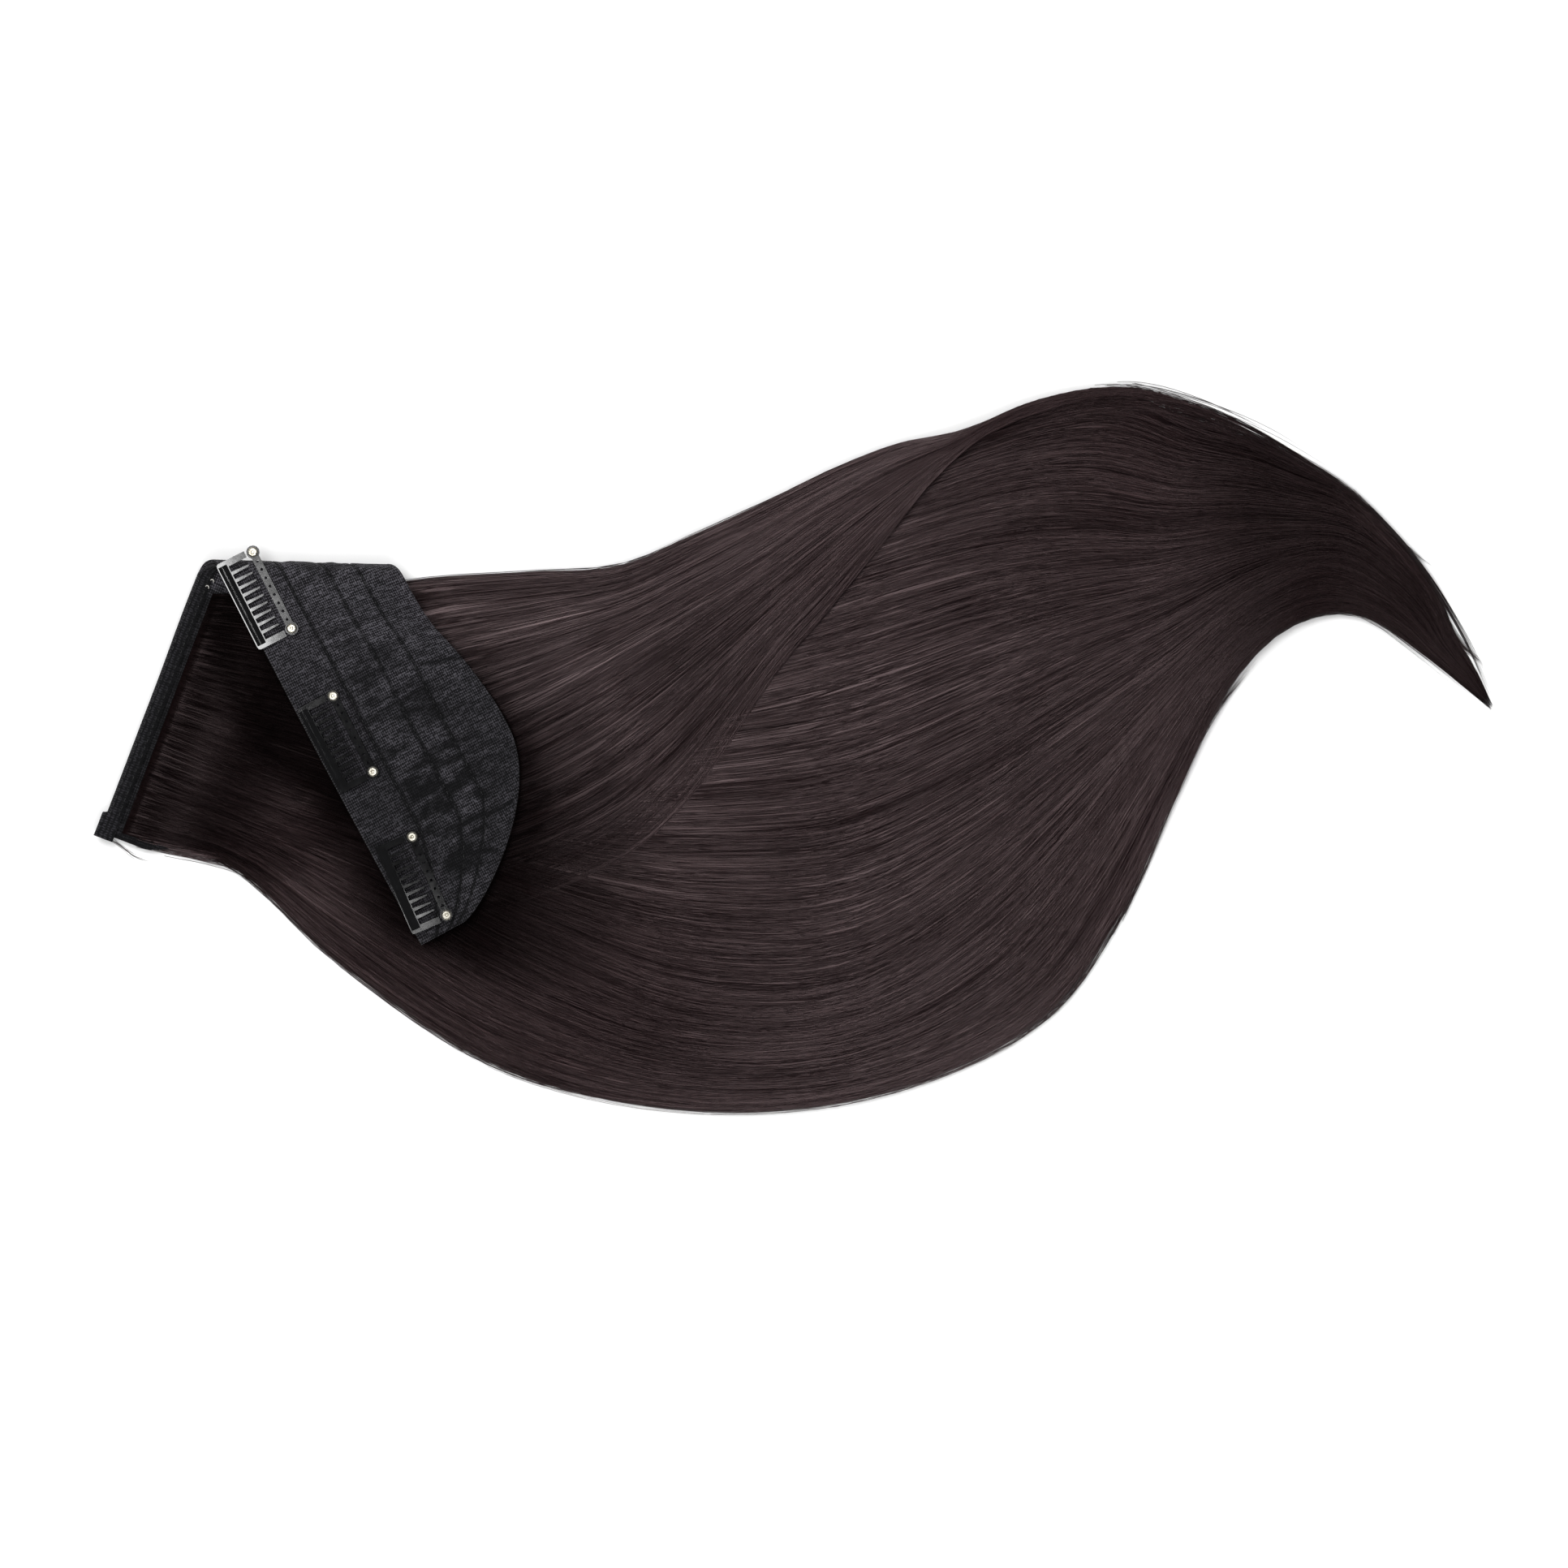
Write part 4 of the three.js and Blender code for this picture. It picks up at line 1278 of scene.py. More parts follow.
@dataclass
class HairFall:
    """A body of combed hair: guide strands with a thickness, and the locks that it falls into.

    u runs from root to end, and v across, from the top edge to the low edge.
    """

    name: str
    sections: list[tuple[list[tuple[float, float]], float]]
    locks: int
    groove: float
    sway: float
    span_mm: float
    grid: tuple[int, int]
    seed: int
    rest: Callable[[np.ndarray, np.ndarray], np.ndarray] = field(default=lambda x, y: 0 * x)
    ceiling: Optional[Callable[[np.ndarray, np.ndarray], np.ndarray]] = None
    root_mm: float = 0.0
    soft_low_edge: float = 0.0
    split: float = 0.0
    fringe_top: tuple[tuple[float, float, float], ...] = ()
    fringe_low: tuple[tuple[float, float, float], ...] = ()
    edge_share: float = 0.14
    broad_bundle: float = 6.0
    fine_bundle: float = 1.8
    bundle_heights: tuple[float, float] = (0.08, 0.04)

    def __post_init__(self) -> None:
        """Table of places, thickness and lengths along the strands, on a fine grid of u and v."""
        guides = np.array([[(*point, thick) for point in across] for across, thick in self.sections])
        self.u = np.linspace(0, 1, self.grid[0] + 1)
        self.v = np.linspace(0, 1, self.grid[1] + 1)
        along = spline(guides, self.u)
        self.plan = spline(along.transpose(1, 0, 2), self.v).transpose(1, 0, 2)
        step = np.linalg.norm(np.diff(self.plan[..., :2], axis=0), axis=-1)
        self.length = np.concatenate([np.zeros((1, len(self.v))), step.cumsum(axis=0)])
        self.across = unit(np.gradient(self.plan[..., :2], axis=1))
        self.width = np.linalg.norm(np.diff(self.plan[..., :2], axis=1), axis=-1).sum(axis=1)

    def inset(self, bells: tuple[tuple[float, float, float], ...]) -> np.ndarray:
        """Share of the width that the body stands in from one edge, where only loose strands lie.

        Args:
            bells: middle, half width and depth in millimetres of each stretch with a wide fringe.

        Returns:
            (n, 1) shares, one for each row.
        """
        depth = 0.7 + sum(deep * np.exp(-(((self.u - middle) / half) ** 2)) for middle, half, deep in bells)
        return np.minimum(depth / self.width, 0.2)[:, None]

    def insets(self) -> tuple[np.ndarray, np.ndarray]:
        """Insets at the top edge and the low edge."""
        return self.inset(self.fringe_top), self.inset(self.fringe_low)

    def thickness(self, u: np.ndarray, v: np.ndarray, full: np.ndarray) -> np.ndarray:
        """Thickness: full in the middle, thin at edges and end, with swaying grooves between the locks.

        Args:
            u: places from root to end.
            v: places across.
            full: thickness that the sections give there.

        Returns:
            Thickness at each place.
        """
        crown = np.sqrt(np.clip(1 - np.abs(2 * v - 1) ** 2.4, 0, 1))
        groove = np.cos(np.pi * self.locks * (v + self.sway * np.sin(4 * u))) ** 2
        round_top = full * (self.edge_share + (1 - self.edge_share) * crown)
        whole = round_top - self.groove * groove * crown * np.clip(full / 4, 0, 1)
        low_edge = smoothstep(v, 0.5, 1) * (1 - smoothstep(u, self.soft_low_edge - 0.15, self.soft_low_edge))
        return whole * (1 - 0.9 * low_edge) * (1 - 0.8 * smoothstep(u, 0.9, 1))

    def bundles(self, u: np.ndarray, v: np.ndarray, full: np.ndarray) -> np.ndarray:
        """Low ridges of the small bundles between the locks: two noises drawn out along the strands.

        Args:
            u: places from root to end.
            v: places across.
            full: thickness that the sections give there.

        Returns:
            Height of the ridges at each place.
        """
        rng = np.random.default_rng(self.seed)
        crown = np.sqrt(np.clip(1 - np.abs(2 * v - 1) ** 4, 0, 1))
        broad = self.bundle_heights[0] * lattice_noise(rng, u, v, (5, int(self.span_mm / self.broad_bundle)))
        fine = self.bundle_heights[1] * lattice_noise(rng, u, v, (9, int(self.span_mm / self.fine_bundle)))
        return (broad + fine) * crown * np.clip(full / 5, 0.2, 1)

    def faces(self) -> tuple[np.ndarray, np.ndarray]:
        """Underside and top of the body on its grid: its rest, and its rest plus its thickness.

        The body stands in from both edges, and its locks end at different lengths, drawn from a noise
        across them. At the roots it thins to the cloth by a smooth step.

        Returns:
            Points of the underside and of the top.
        """
        u, v = np.meshgrid(self.u, self.v, indexing="ij")
        first, last = self.insets()
        uneven = lattice_noise(np.random.default_rng(self.seed + 5), v, 0 * v, (11, 1))
        ends = 1 - self.split * (0.55 + 0.45 * uneven)
        a, b = u * ends * self.grid[0], (first + v * (1 - first - last)) * self.grid[1]
        place = sample_grid(self.plan, a, b)
        x, y, full = (place[..., k] for k in range(3))
        rooted = 1 - smoothstep(sample_grid(self.length, a, b), 0, max(self.root_mm, 1e-3))
        low = np.maximum(self.rest(x, y) - 0.55 * rooted, 0.03)
        top = low + (self.thickness(u, v, full) + self.bundles(u, v, full)) * (1 - 0.9 * rooted)
        if self.ceiling is not None:
            top = np.minimum(top, self.ceiling(x, y))
        top = np.maximum(top, low + 0.15)
        return np.stack([x, y, low], -1), np.stack([x, y, top], -1)

    def body(self, shade: HeightField) -> Surface:
        """The body as a closed slab, with its pattern along and across the strands, and its painted shade.

        Args:
            shade: painted shade, where the hair gets less light.

        Returns:
            The body.
        """
        low, top = self.faces()
        across = np.broadcast_to(self.v * self.span_mm, self.length.shape)
        pattern = np.stack([self.length, across], -1)
        return closed_slab(top, low, pattern, shade.at(top[..., 0], top[..., 1]))

    def at(self, u: np.ndarray, v: np.ndarray, out: np.ndarray) -> tuple[np.ndarray, np.ndarray]:
        """Places on the plan, moved out across the strands.

        Args:
            u: places from root to end.
            v: places across.
            out: distances to move them.

        Returns:
            x and y of each place.
        """
        a, b = u * self.grid[0], np.clip(v, 0, 1) * self.grid[1]
        place = sample_grid(self.plan[..., :2], a, b)
        way = sample_grid(self.across, a, b)
        place = place + way * out[..., None]
        return place[..., 0], place[..., 1]


@dataclass
class StrandSet:
    """Single strands that lie on a body of hair and follow its flow.

    Each has its own start, end and place across, and wanders a little to both sides. Towards their
    ends the strands gather into bundles. They keep in from the edges as the body does, apart from the
    loose ones, which make a thin fringe there.
    """

    name: str
    hair: HairFall
    over: HeightField
    seed: int
    count: int
    steps: int
    starts: tuple[float, float]
    ends: tuple[float, float]
    lift: float
    radius: float = 0.1
    wander: float = 0.012
    slant: float = 0.02
    bundle: int = 60
    gather: float = 0.2
    edges: tuple[float, float] = (0.0, 1.0)
    crowd: float = 1.0
    stray: float = 0.0
    keep_in: float = 1.0
    taper: float = 0.15

    def lines(self) -> tuple[np.ndarray, np.ndarray]:
        """Centrelines of the strands, and their places across.

        The place across is a random start, plus a small slant and a slow noise along the strand, plus a
        pull to the nearest bundle that grows towards the end. Stray strands also leave the body
        sideways, as the square of the way along, a few of them far and most hardly.

        Returns:
            (count, steps, 3) points, and a distance across for each strand.
        """
        rng = np.random.default_rng(self.seed)
        t = np.linspace(0, 1, self.steps)
        begin = rng.uniform(*self.starts, (self.count, 1))
        end = rng.uniform(*self.ends, (self.count, 1))
        u = begin + (end - begin) * t
        share = rng.uniform(0, 1, (self.count, 1)) ** self.crowd
        first = self.edges[0] + (self.edges[1] - self.edges[0]) * share
        drift = self.wander * lattice_noise(rng, u, first + 0 * u, (9, 4 * self.count))
        drift = drift + self.slant * rng.uniform(-0.5, 0.5, (self.count, 1)) * (2 * t - 1)
        centres = (np.floor(first * self.bundle) + 0.5 + 0.3 * np.sin(7 * first * self.bundle)) / self.bundle
        v = first + drift + self.gather * smoothstep(u, 0.3, 1.0) * (centres - first)
        top, low = (self.keep_in * np.interp(u, self.hair.u, inset[:, 0]) for inset in self.hair.insets())
        v = top + v * (1 - top - low)
        side = np.where(first > 0.5, 1.0, -1.0)
        beyond = np.maximum(v - 1, 0) - np.maximum(-v, 0)
        out = 0.3 * beyond * self.hair.span_mm
        out = out + self.stray * side * rng.uniform(0, 1, (self.count, 1)) ** 4 * t**2
        x, y = self.hair.at(u, v, out)
        lift = rng.uniform(0, self.lift, (self.count, 1)) * np.sin(np.pi * np.clip(t, 0.02, 0.98)) ** 0.5
        z = self.over.at(x, y) + lift + self.radius
        if self.hair.ceiling is not None:
            z = np.minimum(z, self.hair.ceiling(x, y) + 0.1)
        return np.stack([x, y, np.maximum(z, self.radius)], -1), first[:, 0] * self.hair.span_mm

    def build(self, finish: bpy.types.Material, shade: HeightField) -> bpy.types.Object:
        """The strands as one piece, each thinned to a point at both ends.

        Args:
            finish: its material.
            shade: painted shade, where the hair gets less light.

        Returns:
            The piece.
        """
        lines, across = self.lines()
        t = np.linspace(0, 1, self.steps)
        thin = 0.12 + 0.88 * smoothstep(1 - t, 0, self.taper) * smoothstep(t, -0.02, 0.03)
        rng = np.random.default_rng(self.seed + 1)
        width = self.radius * rng.uniform(0.6, 1.2, (self.count, 1))
        dark = shade.at(lines[..., 0], lines[..., 1])
        surface = tubes(lines, width * thin, across + rng.uniform(-0.4, 0.4, self.count), shade=dark)
        return make_piece(self.name, surface, finish)


# Sections across each body of hair, from root to tip: points from its top edge to its low edge,
# and its thickness
LOWER_SECTIONS = [
    ([(-191.3, 51.5), (-198.9, 31.5), (-206.4, 11.5), (-214, -8.6), (-221.6, -28.6)], 2.4),
    ([(-150, 50), (-158.7, 23.2), (-168, -2.1), (-176, -23.5), (-186.5, -39)], 2.6),
    ([(-100, 51), (-112, 19.2), (-122.7, -16.8), (-133.3, -40), (-152, -70)], 3.6),
    ([(-50, 56), (-66.7, 25.9), (-74.7, -24), (-86.7, -63.5), (-98, -105.5)], 5),
    ([(0, 75), (-25.3, 37.9), (-29.3, -25.1), (-34.7, -83.5), (-34.5, -120)], 6),
    ([(42, 98), (17.3, 52.5), (17.3, -20.8), (17.3, -82.7), (28, -114.5)], 6),
    ([(82.5, 113.5), (58.7, 64.5), (58.7, -2.1), (60, -58.1), (82.5, -89)], 6),
    ([(110, 118), (93.3, 69.3), (93.3, 19.2), (89.3, -28.8), (107, -56)], 6.5),
    ([(136, 112), (125.3, 71.2), (125.3, 39.2), (114.7, 2.7), (125.5, -16.5)], 7),
    ([(162.5, 98.5), (158, 73.5), (154.7, 57), (146.7, 39.2), (144, 21.5)], 7.5),
    ([(184, 84), (181.5, 71.5), (177.3, 62), (171, 51.5), (163, 40)], 7.5),
    ([(204, 62.5), (201, 57.5), (196, 52), (190.5, 47.5), (184, 44)], 6),
    ([(219, 39), (216.3, 36.8), (213, 34.5), (209.7, 32.4), (206, 30.5)], 4),
    ([(230, 14.5), (229.8, 13.8), (229.5, 13.2), (229.2, 12.6), (229, 12)], 1.5),
]

UPPER_SECTIONS = [
    ([(-177, 54), (-144, -0.8), (-117.5, -56.5)], 3.3),
    ([(-148, 53.5), (-118.7, 6.7), (-96, -52)], 3.3),
    ([(-118, 57), (-94.7, 14.9), (-74.5, -44.5)], 3.6),
    ([(-85.5, 58.8), (-73.3, 25.1), (-52, -32.5)], 4.2),
    ([(-58, 60.5), (-52, 36.5), (-34.5, -16)], 4.8),
    ([(-34.5, 70.5), (-29.9, 49.1), (-18.5, 7)], 5),
    ([(-10.5, 81.5), (-9.3, 61.9), (-5, 27)], 5),
    ([(13.5, 93), (10.1, 75.2), (10.5, 45)], 4.8),
    ([(34.5, 101), (30.9, 88), (29.5, 68.5)], 4.4),
    ([(56, 105.3), (51.2, 98.9), (48, 90.5)], 3.6),
    ([(80, 115), (72, 110.4), (66, 104.5)], 2.8),
    ([(109.5, 119.8), (107.7, 117.9), (106, 115.5)], 1.8),
    ([(138.5, 111.5), (137.5, 109.9), (136.5, 108)], 1.2),
]


@dataclass
class HairShade:
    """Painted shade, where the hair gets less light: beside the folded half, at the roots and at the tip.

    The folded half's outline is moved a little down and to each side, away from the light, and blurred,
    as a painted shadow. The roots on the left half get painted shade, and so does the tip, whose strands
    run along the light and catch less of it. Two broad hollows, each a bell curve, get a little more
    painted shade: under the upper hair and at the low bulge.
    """

    base: FoldedBase
    shifts: tuple[tuple[tuple[int, int], float], ...] = (
        ((-9, -6), 1.0),
        ((7, -8), 1.0),
        ((15, -14), 0.8),
        ((25, -18), 0.55),
        ((40, -16), 0.5),
    )
    blur: int = 60
    at_crease: float = 0.25
    crease_reach: float = 40.0
    roots: float = 0.69
    below_roots: float = 0.11
    tip: float = 0.54
    # Broad spots of painted shade: middle across, middle up, width and strength
    hollows: tuple[tuple[float, float, float, float], ...] = (
        (-42.0, 32.0, 30.0, 0.22),
        (5.0, -58.0, 38.0, 0.12),
    )
    deepest: float = 0.94

    def beside_panel(self) -> HeightField:
        """The painted shadow of the folded half, its outline laid over itself in several places.

        Returns:
            The shadow, from 0 to 1.
        """
        base, outline, shadow = self.base, HeightField(), HeightField()
        along = np.linspace(base.crease_end, base.width, 500)
        s, share = np.meshgrid(along, np.linspace(0, 1, 200), indexing="ij")
        panel = base.place(s, share * base.depth(s), 0 * s)
        outline.add(np.concatenate([panel[..., :2], 0 * panel[..., :1] + 1.0], -1))
        for shift, strength in self.shifts:
            moved = strength * np.roll(outline.heights, shift, axis=(0, 1))
            shadow.heights = np.maximum(shadow.heights, moved)
        return shadow.smooth(self.blur)

    def field(self) -> HeightField:
        """The whole painted shade, from 0 to 1.

        Returns:
            The shade.
        """
        base, shade = self.base, self.beside_panel()
        x, y = np.indices(shade.heights.shape) * shade.cell - np.array(shade.reach)[:, None, None]
        below = smoothstep(base.crease_point[1] - y, 0, self.crease_reach)
        shade.heights *= self.at_crease + (1 - self.at_crease) * below
        places = np.stack([x, y], -1) - np.array(base.hem_corner)
        depth = places @ base.depth_way
        # Painted shade at the roots of the left half
        roots = (self.roots + self.below_roots * smoothstep(depth, 18, 34)) * (1 - smoothstep(depth, 36, 68))
        left_half = 1 - smoothstep(places @ base.hem_way, 94, 104)
        # Painted shade at the tip, whose strands run along the light
        tip = self.tip * smoothstep(x, 110, 158)
        hollows = sum(
            deep * np.exp(-(((x - x0) / wide) ** 2) - ((y - y0) / wide) ** 2)
            for x0, y0, wide, deep in self.hollows
        )
        shade.heights = np.clip(shade.heights + roots * left_half + tip + hollows, 0, self.deepest)
        return shade


@dataclass
class Hair:
    """All the hair: the lower body from the left half, the upper from the folded half, and strands."""

    base: FoldedBase
    samples: tuple[int, int] = (1100, 700)

    def __post_init__(self) -> None:
        """The two bodies, the upper resting on the lower, and the heights that strands lie on."""
        self.lower = HairFall(
            "combed_hair_lower",
            LOWER_SECTIONS,
            locks=5,
            groove=0.8,
            sway=0.06,
            span_mm=240.0,
            grid=(150, 180),
            seed=21,
            rest=self.base.under_lower_hair,
            root_mm=26.0,
            split=0.03,
            fringe_top=((0.605, 0.055, 4.2), (0.7, 0.04, 1.2), (0.93, 0.025, 2.6)),
            fringe_low=((0.6, 0.08, 1.3),),
        )
        self.lower_field = HeightField()
        self.lower_field.add(self.dense_top(self.lower))
        rest_field = self.lower_field.spread(1).smooth(3)
        self.upper = HairFall(
            "combed_hair_upper",
            UPPER_SECTIONS,
            locks=3,
            groove=0.6,
            sway=0.03,
            span_mm=120.0,
            grid=(120, 110),
            seed=22,
            rest=lambda x, y: rest_field.at(x, y) - self.base.gap,
            ceiling=self.base.folded_ceiling,
            soft_low_edge=0.56,
            fringe_top=((1.0, 0.12, 2.0),),
        )
        both = HeightField()
        both.heights = self.lower_field.heights.copy()
        both.add(self.dense_top(self.upper))
        self.lower_over = self.lower_field.spread(1).smooth(2)
        self.both_over = both.spread(1).smooth(2)
        self.shade = HairShade(self.base).field()

    def dense_top(self, hair: HairFall) -> np.ndarray:
        """Points of a body's top face, close enough together to fill the raster.

        Args:
            hair: the body.

        Returns:
            (..., 3) points.
        """
        top = hair.faces()[1]
        rows = np.linspace(0, top.shape[0] - 1, self.samples[0])
        columns = np.linspace(0, top.shape[1] - 1, self.samples[1])
        a, b = np.meshgrid(rows, columns, indexing="ij")
        return sample_grid(top, a, b)

    def strand_sets(self) -> list[StrandSet]:
        """The sets of strands: on the lower body, on the upper body, at the edges and at the tip.

        Returns:
            The sets, in the order that they are made.
        """
        lower, upper = self.lower, self.upper
        on_lower, on_both = self.lower_over, self.both_over
        loose = dict(steps=34, lift=0.3, radius=0.07, wander=0.01, gather=0.1, stray=1.8, keep_in=0.0)
        return [
            StrandSet(
                "long_strands_lower", lower, on_lower, 31,
                count=850, steps=36, starts=(0, 0.02), ends=(0.9, 1), lift=0.2,
            ),
            StrandSet(
                "short_strands_lower", lower, on_lower, 32,
                count=1250, steps=22, starts=(0.04, 0.6), ends=(0.55, 0.97), lift=0.25,
            ),
            StrandSet(
                "root_strands", lower, on_lower, 36,
                count=300, steps=12, starts=(0, 0.006), ends=(0.08, 0.3), lift=0.15,
            ),
            StrandSet(
                "tip_strands", lower, on_lower, 37,
                count=450, steps=18, starts=(0.72, 0.88), ends=(0.97, 1), lift=0.3, gather=0.15,
            ),
            StrandSet(
                "strands_upper", upper, on_both, 33,
                count=950, steps=26, starts=(0.03, 0.4), ends=(0.6, 1), lift=0.25,
                edges=(0, 1.02), gather=0.1,
            ),
            StrandSet(
                "loose_strands_top_edge", lower, on_both, 34,
                count=170, starts=(0.3, 0.6), ends=(0.72, 1), edges=(0.04, 0.0), crowd=1.25, **loose,
            ),
            StrandSet(
                "loose_strands_low_edge", lower, on_both, 35,
                count=120, starts=(0.0, 0.5), ends=(0.35, 1), edges=(0.97, 1.0), crowd=1.6, **loose,
            ),
        ]

    def build(self, finish: bpy.types.Material) -> None:
        """The bodies and the strands as pieces.

        Args:
            finish: its material.
        """
        for hair, node in ((self.lower, "hair_lower"), (self.upper, "hair_upper")):
            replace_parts(make_piece(hair.name, hair.body(self.shade), finish), node)
        for strands in self.strand_sets():
            strands.build(finish, self.shade)
        wisps = joined([wisp.surface(self.both_over) for wisp in WISPS])
        make_piece("split_wisps", wisps, finish)


@dataclass
class Wisp:
    """A thin bunch of strands that has left the rest: a guide on the table and a width at each end."""

    guide: list[tuple[float, float]]
    count: int
    spread: tuple[float, float]
    seed: int
    radius: float = 0.08
    steps: int = 24

    def surface(self, over: HeightField) -> Surface:
        """The strands, spread about the guide by a bell curve, and ended at different places.

        Args:
            over: heights that the strands lie on.

        Returns:
            The strands.
        """
        rng = np.random.default_rng(self.seed)
        step = np.linspace(0, 1, self.steps)
        begin = rng.uniform(0, 0.25, (self.count, 1))
        t = begin + rng.uniform(0.5, 0.75, (self.count, 1)) * step
        flat = spline(np.array(self.guide, float), t.ravel()).reshape(self.count, self.steps, 2)
        way = unit(np.gradient(flat, axis=1))
        side = np.stack([-way[..., 1], way[..., 0]], -1)
        wide = self.spread[0] + (self.spread[1] - self.spread[0]) * t
        place = rng.normal(0, 0.5, (self.count, 1))
        place = place + 0.25 * np.sin(6 * t + rng.uniform(0, 6, (self.count, 1)))
        flat = flat + side * (place * wide)[..., None]
        z = over.at(flat[..., 0], flat[..., 1]) + self.radius + rng.uniform(0, 0.2, (self.count, 1))
        thin = 0.15 + 0.85 * smoothstep(1 - step, 0, 0.3)
        lines = np.concatenate([flat, z[..., None]], -1)
        return tubes(lines, self.radius * thin, rng.uniform(0, 60, self.count))


# At the tip, beside it, at the hem's low end, along the low roots, on the top edge and on the low edge
WISPS = [
    Wisp(
        [(180, 84), (192, 71.2), (204, 57.9), (211.7, 44), (218.9, 34.4), (224.5, 29.6), (227.5, 26.7)],
        60,
        (3, 0.5),
        51,
    ),
    Wisp([(176, 85.9), (192, 73.9), (204, 63.7), (211.2, 58.4)], 14, (1.4, 1), 52),
    Wisp([(-227.2, -28.8), (-222.7, -32), (-217.3, -35.7), (-210.7, -37.3)], 9, (0.6, 1.4), 53, 0.05),
    Wisp([(-219, -30), (-205, -33.5), (-193, -36), (-181, -39), (-168, -45.5)], 60, (1.6, 2), 54),
    Wisp([(92.8, 116.7), (111.6, 117.2), (132.7, 111.3), (153.9, 101.6), (175.2, 88.2)], 46, (3.2, 3.4), 55),
    Wisp([(104, -62), (112, -44), (124, -14), (139, 13), (146, 21.5), (156, 34)], 30, (1.0, 1.2), 56),
]


# Clips


@dataclass
class SnapClips:
    """The stamped clips: their solids keep their shape and get their finishes."""

    sheet: SheetMetal = SheetMetal(
        "black_lacquered_spring_steel",
        colour="040405",
        scuffed="08080a",
        metallic=0.0,
        roughness=0.05,
        coat=0.2,
    )
    rivets: SheetMetal = SheetMetal(
        "plated_rivet_steel",
        colour="d2cec2",
        scuffed="8f8a7c",
        metallic=1.0,
        roughness=0.3,
        coat=0.0,
        spot_mm=1.2,
    )

    def dress(self, nodes: dict[str, bpy.types.Object]) -> None:
        """Gives every clip node its finish.

        Args:
            nodes: the solids by name.
        """
        black, plated = self.sheet.material(), self.rivets.material()
        for name, node in nodes.items():
            if name.startswith("clip_"):
                node.data.materials.clear()
                node.data.materials.append(plated if "rivet" in name else black)
                log.info("%s: finished", name)


# Studio


@dataclass(frozen=True)
class SoftBox:
    """Rectangular soft box, turned to the middle of the table, or straight down if it has a turn.

    Its place and size are in metres, its power in watts, and its turn about the upright in degrees.
    A box without shine lights glossy surfaces and isn't seen in them.
    """

    name: str
    place: tuple[float, float, float]
    size: tuple[float, float]
    power: float
    turn: Optional[float] = None
    shine: bool = True

    def build(self) -> None:
        """The box as a lamp."""
        data = bpy.data.lights.new(self.name, "AREA")
        data.shape = "RECTANGLE"
        data.size, data.size_y = self.size
        data.energy = self.power
        lamp = bpy.data.objects.new(self.name, data)
        lamp.location = self.place
        lamp.visible_glossy = self.shine
        if self.turn is None:
            lamp.rotation_mode = "QUATERNION"
            lamp.rotation_quaternion = (-lamp.location).to_track_quat("-Z", "Y")
        else:
            lamp.rotation_euler = (0.0, 0.0, math.radians(self.turn))
        bpy.context.scene.collection.objects.link(lamp)


SOFT_BOXES = [
    SoftBox("overhead_box", (0.0, 0.0, 2.6), (2.6, 2.6), 32.0, turn=0.0, shine=False),
    SoftBox("upper_left_box", (-0.48, 0.575, 1.41), (0.9, 0.9), 16.0),
    SoftBox("low_front_box", (0.2, -0.75, 1.3), (0.8, 0.5), 6.3),
    SoftBox("strip_over_first_spine", (-0.4854, -0.0267, 1.9), (0.3, 0.12), 2.1, turn=26.9),
    SoftBox("strip_over_first_bar", (-0.3164, 0.0589, 1.9), (0.056, 0.12), 0.045, turn=26.9),
    SoftBox("small_box_over_third_clip", (-0.239, -0.163, 1.9), (0.012, 0.024), 0.011, turn=23.6),
]


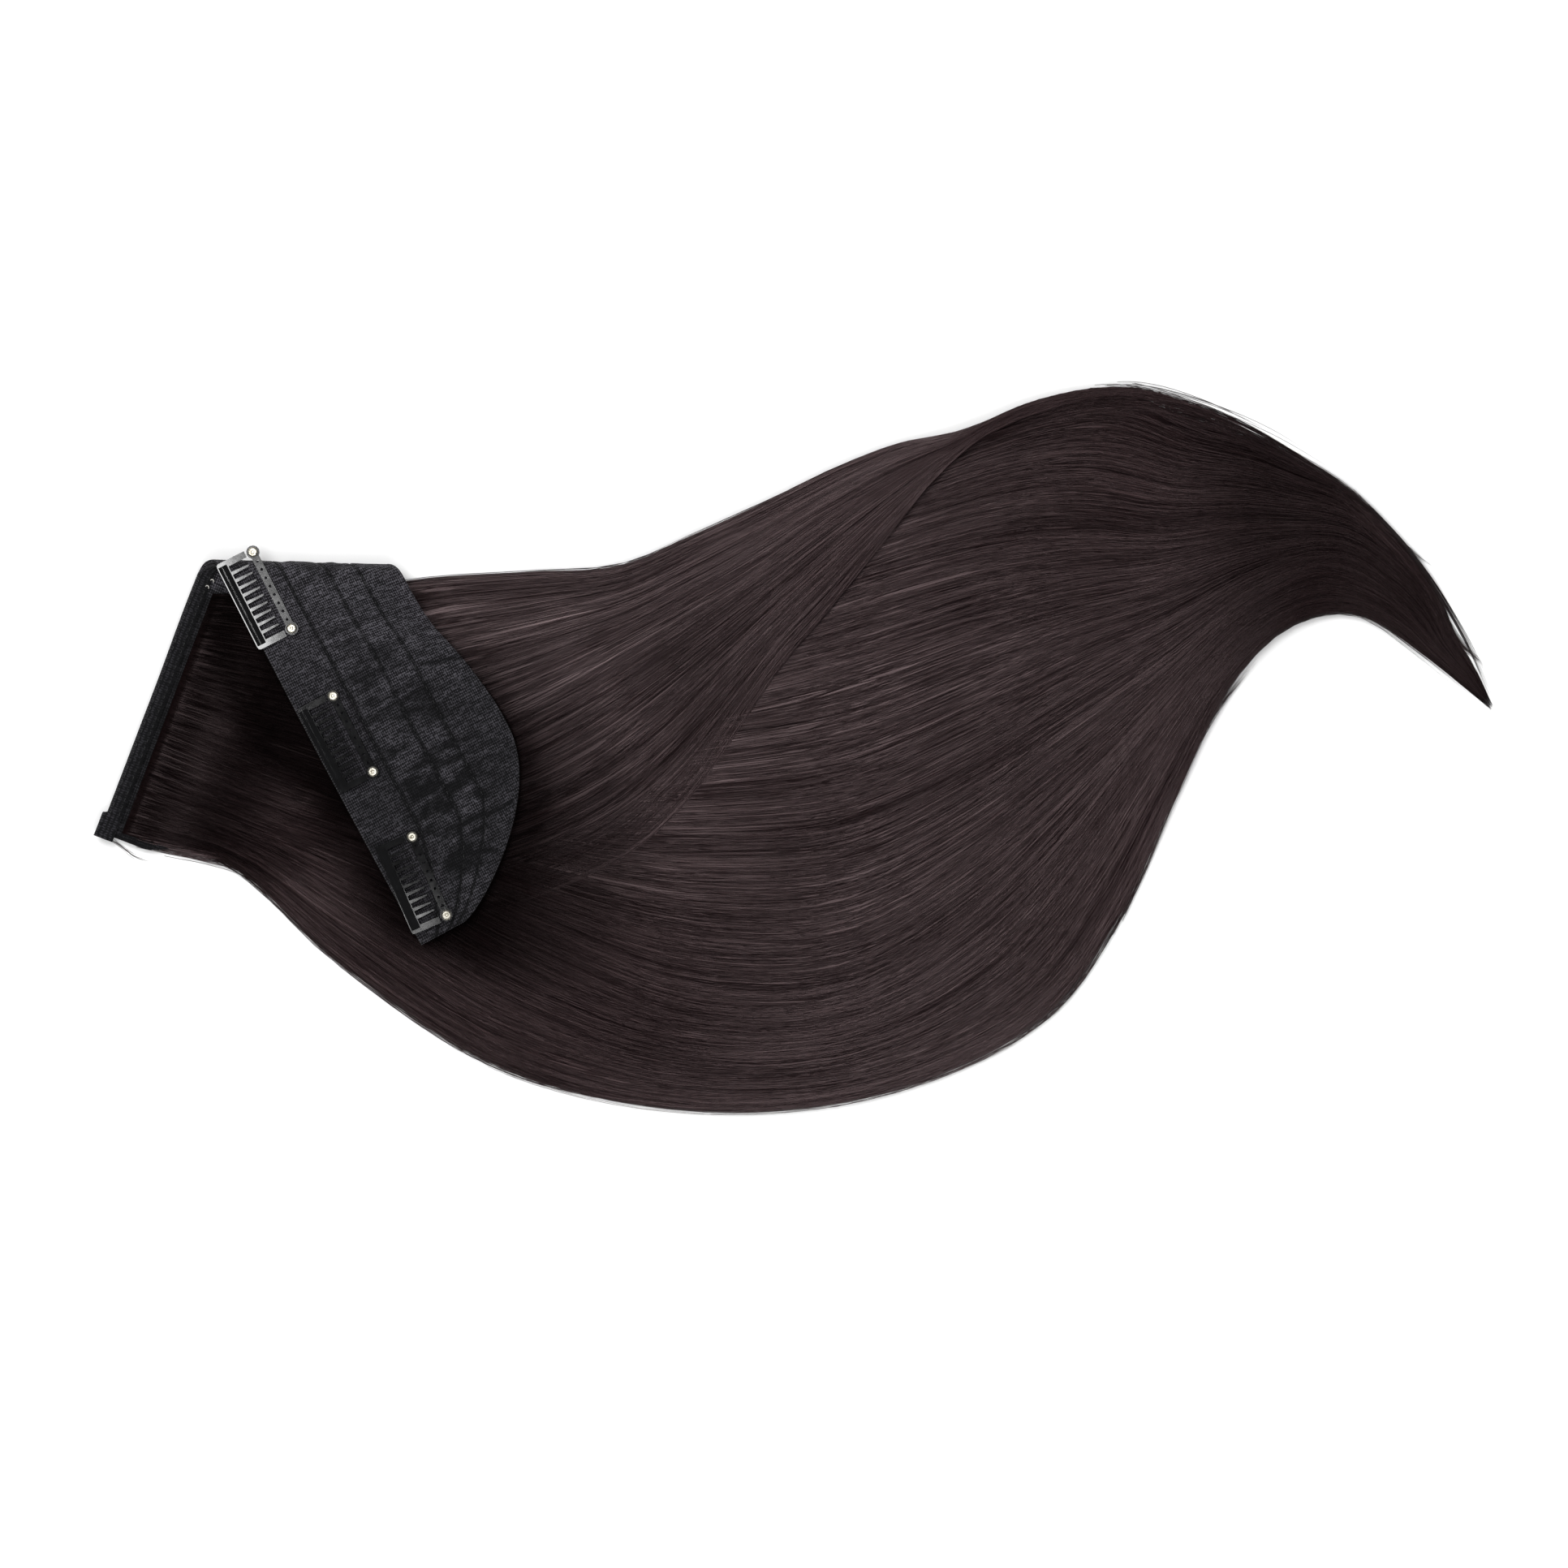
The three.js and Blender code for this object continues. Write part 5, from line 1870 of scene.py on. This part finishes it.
@dataclass
class Studio:
    """Camera straight above, soft boxes, a pale surround and the table."""

    centre: tuple[float, float] = (-3.73, -11.73)
    frame: float = 515.2
    lens: float = 135.0
    sensor: float = 36.0
    focus_height: float = 5.0
    surround: float = 0.14
    table_half: float = 3000.0

    def camera(self) -> None:
        """Camera that looks straight down, as far up as puts the photo's width in its frame."""
        data = bpy.data.cameras.new("camera")
        data.lens = self.lens
        data.sensor_width = self.sensor
        data.clip_end = 50.0
        camera = bpy.data.objects.new("camera", data)
        distance = self.frame * self.lens / self.sensor + self.focus_height
        camera.location = (self.centre[0] * MM, self.centre[1] * MM, distance * MM)
        bpy.context.scene.collection.objects.link(camera)
        bpy.context.scene.camera = camera

    def table(self) -> None:
        """Large square table top, just under the extension."""
        corners = self.table_half * np.array([(-1, -1, 0), (1, -1, 0), (1, 1, 0), (-1, 1, 0)], float)
        mesh = bpy.data.meshes.new("table_top")
        mesh.from_pydata((corners * MM).tolist(), [], [(0, 1, 2, 3)])
        mesh.materials.append(TablePaper().material())
        table = bpy.data.objects.new("table_top", mesh)
        bpy.context.scene.collection.objects.link(table)

    def build(self) -> None:
        """Everything of the studio."""
        self.camera()
        for box in SOFT_BOXES:
            box.build()
        self.table()
        world = bpy.data.worlds.new("pale_surround")
        world.use_nodes = True
        background = world.node_tree.nodes["Background"]
        background.inputs["Color"].default_value = (1, 1, 1, 1)
        background.inputs["Strength"].default_value = self.surround
        bpy.context.scene.world = world
        bpy.context.scene.view_settings.view_transform = "Standard"
        log.info("studio ready")


def main() -> None:
    """Builds the camera, the base, the hair and the clips, in that order."""
    logging.basicConfig(level=logging.INFO, format="%(message)s")
    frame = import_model()
    Studio().build()
    base = FoldedBase()
    lace = LaceCloth(base)
    woven_lace = WovenCloth("woven_base_lace", "131215", "5b595f", thread_mm=(0.9, 0.7), relief_mm=0.2)
    woven_tape = WovenCloth("woven_hem_tape", "0c0c0e", "302f33", thread_mm=(0.8, 1.6), relief_mm=0.22)
    cloth = lace.build(woven_lace.material())
    tape = HemTape(base).build(woven_tape.material())
    sewing = Stitching(base, lace)
    stitches = sewing.build(SewingThread("black_sewing_thread", "0c0c0e").material())
    tacks = sewing.build_tacks(SewingThread("pale_tacking_thread", "b9b6b0").material())
    lace.area()
    Hair(base).build(CombedHair().material())
    SnapClips().dress(frame["nodes"])


if __name__ == "__main__":
    main()
